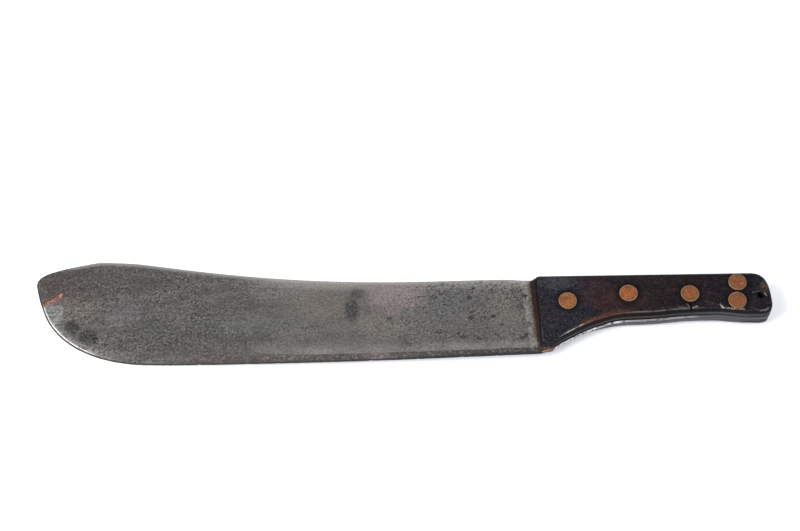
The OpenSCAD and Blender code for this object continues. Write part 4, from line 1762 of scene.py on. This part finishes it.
    def finish(self, piece: bpy.types.Object, rim: Array) -> None:
        """Works the hand's wear into the scale, turns it to its side and stores what is read.

        The value called edge is 0 on the middle of the face's rounded edge, counts millimetres
        inwards over the face and goes below 0 down the wall.

        Args:
            piece: the scale, seam down.
            rim: the face's outline in the plan.
        """
        points = points_of(piece)
        seam = self.outline(0)[:, :2]
        far, near, _ = ring_distance(points[:, :2], seam)
        level = np.clip(points[:, 2] / self.thick, 0, 1)
        away = inward(seam)[near]
        wall = smooth(far, 2.5, 0.2) * smooth(level, 0.06, 0.3)
        uneven = np.maximum(0, 1 + ripples(points, 15, seed=21 + self.side.value))
        push = wall * uneven * (0.1 - 0.07 * smooth(points[:, 1], 0, 12))
        edge = smooth(far, 3.2, 0.0) * smooth(level, 0.55, 1.0)
        push += edge * (points[:, 1] < -2) * dents(points, self.worn, 0)
        inset, _, within = ring_distance(points[:, :2], rim)
        depth = self.thick - points[:, 2]
        keep_values(piece, "edge", np.where(within, inset, -inset) - depth)
        gaps = [np.hypot(points[:, 0] - x, points[:, 1] - y) for x, y in GRIP.places]
        keep_values(piece, "bore", np.min(gaps, axis=0) - self.bore)
        ahead = away[:, 0] > 0.8
        keep_values(piece, "front", ahead * (far < 4.6) * (points[:, 0] < -140))
        points[:, :2] += away * push[:, None]
        crown = smooth(far, 12, 1.0) ** 2 * 0.18 * smooth(points[:, 1], 14, 4)
        uneven = np.maximum(0, 1 + ripples(points[:, :2], 19, seed=31))
        dip = (crown + 0.04 * uneven) * smooth(level, 0.5, 1.0)
        dip += dents(points, self.dips, 1.6) * smooth(level, 0.6, 1.0)
        points[:, 2] = (points[:, 2] - dip + GRIP.tang_half) * self.side.value
        if self.side is Side.RIGHT:
            piece.data.flip_normals()
        move_points(piece, points)
        shade(piece, 42)


# The rivets and burrs


@dataclass
class Rivet:
    """A copper rivet: a flat head in the left scale, a shank and a peened tail."""

    name: str
    at: tuple[float, float]
    seed: int
    filed: bool = False
    head_top: float = 11.62
    tail_top: float = -11.35
    burr_face: float = -10.45
    tail_radius: float = 4.0
    count: int = 96
    waves: tuple[tuple[int, float], ...] = ((2, 0.005), (3, 0.003), (7, 0.002))

    def profile(self) -> Array:
        """The rivet's section, as rows of radius and height from the head's middle down.

        Returns:
            The section.
        """
        r, top = GRIP.head_radius, self.head_top
        head = [(share * 5.75, top) for share in np.linspace(0, 1, 14)]
        rim = [(5.95, top - 0.02), (6.15, top - 0.07), (6.3, top - 0.16), (r, top - 0.32)]
        side = [(r, top - 0.9), (r, GRIP.head_seat), (GRIP.shank_radius, GRIP.head_seat)]
        side += [(GRIP.shank_radius, 0.0), (GRIP.shank_radius, self.burr_face)]
        turn = np.linspace(0, math.pi / 2, 12)
        deep = self.burr_face - self.tail_top
        dome = [(self.tail_radius * math.cos(t), self.burr_face - deep * math.sin(t)) for t in turn]
        return np.array(head + rim + side + dome)

    def build(self) -> bpy.types.Object:
        """Builds the closed rivet by turning its profile, then hammers and files it.

        It is slightly oval: the share by which it is drawn in is a sum of 1 + cos(n a + phase)
        over a few waves round it.

        Returns:
            The rivet's object.
        """
        angle = np.arange(self.count) * 2 * math.pi / self.count
        phases = np.random.default_rng(self.seed).uniform(0, 2 * math.pi, len(self.waves))
        waves = zip(self.waves, phases)
        oval = sum(share * (1 + np.cos(n * angle + phase)) for (n, share), phase in waves)
        shell = Shell()
        shell.loft(list(turned(self.profile(), self.at, oval)[::-1]))
        piece = shell.object(self.name + "_copper")
        points = points_of(piece)
        up, down = points[:, 2] > 10, points[:, 2] < self.burr_face - 0.05
        points[:, 2] -= up * 0.03 * np.maximum(0, 1 + ripples(points[:, :2], 5, self.seed))
        hammered = np.maximum(0, 1 + ripples(points[:, :2], 2.6, self.seed + 50))
        points[:, 2] += down * 0.07 * hammered
        if self.filed:
            over = np.maximum(0, points[:, 1] - 13.6)
            limit = 6.5 + np.sqrt(np.maximum(0, 25 - over**2)) + 0.1
            points[:, 2] = np.where(up, np.minimum(points[:, 2], limit), points[:, 2])
        move_points(piece, points)
        away = np.hypot(points[:, 0] - self.at[0], points[:, 1] - self.at[1])
        full = np.where(points[:, 2] > 0, GRIP.head_radius, self.tail_radius)
        keep_values(piece, "ring", away / full)
        shade(piece, 40)
        return piece


@dataclass
class Burr:
    """A copper burr, the washer under a rivet's peened tail."""

    name: str
    at: tuple[float, float]
    seed: int
    low: float = -10.45
    high: float = -9.25
    count: int = 96

    def build(self) -> bpy.types.Object:
        """Builds the closed washer by turning a section with softened corners.

        Returns:
            The burr's object.
        """
        inner, outer = GRIP.shank_radius + 0.02, GRIP.burr_radius
        shares = np.linspace(0.05, 1, 8)
        face = [(inner + (outer - 0.35 - inner) * share, self.low) for share in shares]
        section = np.array(
            [(inner, self.high), (inner, self.low + 0.1), *face, (outer - 0.1, self.low + 0.08)]
            + [(outer, self.low + 0.28), (outer, self.high), (inner, self.high)]
        )
        shell = Shell()
        shell.loft(list(turned(section, self.at, np.zeros(self.count))))
        piece = shell.object(self.name + "_copper")
        points = points_of(piece)
        shown = points[:, 2] < self.low + 0.2
        away = np.hypot(points[:, 0] - self.at[0], points[:, 1] - self.at[1])
        dent = shown * (away > 4.1) * 0.05 * (1 + ripples(points[:, :2], 3.5, self.seed))
        points[:, 2] += dent
        move_points(piece, points)
        keep_values(piece, "ring", away / GRIP.burr_radius)
        shade(piece, 35)
        return piece


# The studio


@dataclass
class Studio:
    """The floor, the light and the camera.

    The machete rests on its tip and on the front of the grip, so the floor is tilted a little
    about Y in the frame of the model.
    """

    centre: Point = (-257.58, -575.61, 1168.77)
    azimuth: float = -1.0
    elevation: float = 62.5
    lens: float = 85.0
    sensor: float = 36.0
    floor_half: float = 4000.0
    floor_drop: float = 0.05
    floor_colour: Colour = (238, 238, 242)
    floor_seen: tuple[float, ...] = (1.48, 1.53, 1.6, 1)
    floor_glow: tuple[float, ...] = (0.92, 0.945, 1, 1)
    glow: float = 0.12
    world_light: float = 0.45
    aim: Point = (-0.22, 0, 0)
    lamps: tuple[tuple[str, Point, float, float], ...] = (
        ("key", (-1.29, -0.51, 1.5), 0.9, 22),
        ("fill", (0.2, -1.5, 0.75), 0.9, 7),
    )
    foot: tuple[float, float] = (-145.0, -11.5)
    tip: tuple[float, float] = (-492.0, -1.15)

    def camera(self) -> None:
        """Sets the camera at the photograph's place and angle."""
        turn, rise = math.radians(self.azimuth), math.radians(self.elevation)
        level = math.cos(rise)
        forward = Vector((-math.sin(turn) * level, math.cos(turn) * level, -math.sin(rise)))
        right = Vector((math.cos(turn), math.sin(turn), 0))
        up = right.cross(forward)
        data = bpy.data.cameras.new("camera")
        data.lens = self.lens
        data.sensor_width = self.sensor
        data.sensor_fit = "HORIZONTAL"
        data.clip_start, data.clip_end = 0.05, 20
        eye = bpy.data.objects.new("camera", data)
        bpy.context.scene.collection.objects.link(eye)
        turned = Matrix((right, up, -forward)).transposed().to_4x4()
        eye.matrix_world = Matrix.Translation(Vector(self.centre) * MM) @ turned
        bpy.context.scene.camera = eye

    def floor(self) -> None:
        """Lays a pale floor under the tip and the grip's foot, white to the camera."""
        slope = (self.tip[1] - self.foot[1]) / (self.tip[0] - self.foot[0])
        x = self.floor_half * np.array([-1.0, 1.0, 1.0, -1.0])
        y = self.floor_half * np.array([-1.0, -1.0, 1.0, 1.0])
        z = self.foot[1] + slope * (x - self.foot[0]) - self.floor_drop
        shell = Shell()
        shell.patch(np.column_stack([x, y, z]), np.array([[0, 1, 2, 3]]))
        ground = shell.object("floor")
        material = bpy.data.materials.new("pale_floor")
        material.use_nodes = True
        w = Wiring(material.node_tree)
        w.tree.nodes.clear()
        matte = w.node("ShaderNodeBsdfDiffuse", {"Color": linear(self.floor_colour)})
        pale = w.node("ShaderNodeBsdfDiffuse", {"Color": self.floor_seen})
        glow = {"Color": self.floor_glow, "Strength": self.glow}
        glow = w.node("ShaderNodeEmission", glow)
        both = w.node("ShaderNodeAddShader", {0: pale.outputs[0], 1: glow.outputs[0]})
        path = w.node("ShaderNodeLightPath")
        seen = path.outputs["Is Camera Ray"]
        chosen = w.node("ShaderNodeMixShader", {0: seen, 1: matte.outputs[0], 2: both.outputs[0]})
        sink = w.node("ShaderNodeOutputMaterial")
        w.put(sink.inputs["Surface"], chosen.outputs[0])
        ground.data.materials.append(material)

    def lamp(self, name: str, place: Point, size: float, watts: float) -> None:
        """Hangs a square soft light that faces the middle of the machete.

        Args:
            name: the light's name.
            place: its place in metres.
            size: its side in metres.
            watts: its power.
        """
        data = bpy.data.lights.new(name, "AREA")
        data.size = size
        data.energy = watts
        lamp = bpy.data.objects.new(name, data)
        lamp.location = place
        aim = Vector(self.aim) - Vector(place)
        lamp.rotation_euler = aim.to_track_quat("-Z", "Y").to_euler()
        bpy.context.scene.collection.objects.link(lamp)

    def light(self) -> None:
        """Sets the world, white to the camera, and the soft lights."""
        world = bpy.data.worlds.new("studio")
        bpy.context.scene.world = world
        world.use_nodes = True
        w = Wiring(world.node_tree)
        back = world.node_tree.nodes["Background"]
        path = w.node("ShaderNodeLightPath")
        back.inputs["Color"].default_value = (1, 1, 1, 1)
        seen = w.most(path.outputs["Is Camera Ray"], path.outputs["Is Glossy Ray"])
        w.put(back.inputs["Strength"], w.blend(seen, self.world_light, 1.0))
        for lamp in self.lamps:
            self.lamp(*lamp)

    def build(self) -> None:
        """Sets up the whole studio."""
        self.camera()
        self.floor()
        self.light()
        bpy.context.scene.view_settings.view_transform = "Standard"


# Each rivet's copper, and how far its middle is blushed
COPPERS: dict[str, tuple[Colour, float]] = {
    "front": ((158, 102, 38), 0.1),
    "middle_front": ((174, 96, 32), 0.4),
    "middle_rear": ((118, 72, 48), 0.7),
    "rear_upper": ((104, 58, 42), 0.75),
    "rear_lower": ((118, 76, 44), 0.55),
}
BURR_COPPER: Colour = (150, 92, 56)
RIVET_SEED, BURR_SEED = 60, 80


def main() -> None:
    """Builds the pieces in order, dresses them and reports each."""
    logging.basicConfig(level=logging.INFO, format="%(message)s")
    build_effects()
    Studio().build()
    dress(Blade().build(), "blade", OldSteel())
    heads, burrs = (GRIP.head_seat, GRIP.head_radius), (GRIP.burr_seat, GRIP.burr_radius)
    left = Scale(Side.LEFT, (1.1, 1.1, 3.0), (0.0, 0.0), *heads)
    right = Scale(Side.RIGHT, (4.5, 3.5, 3.0), (6.0, 0.8), *burrs)
    dress(left.build(), "grip_scale_left", DarkWood())
    dress(right.build(), "grip_scale_right", DarkWood("dark_wood_under", 0.8))
    for place, (part, at) in enumerate(zip(COPPERS, GRIP.places)):
        rivet = Rivet("rivet_" + part, at, RIVET_SEED + place, part == "rear_upper")
        finish = OldCopper("old_copper_" + part, 0.1 * place, *COPPERS[part])
        dress(rivet.build(), "rivet_" + part, finish)
        burr = Burr("burr_" + part, at, BURR_SEED + place)
        finish = OldCopper("burr_copper_" + part, 0.1 * place + 0.05, BURR_COPPER)
        dress(burr.build(), "burr_" + part, finish)


if __name__ == "__main__":
    main()
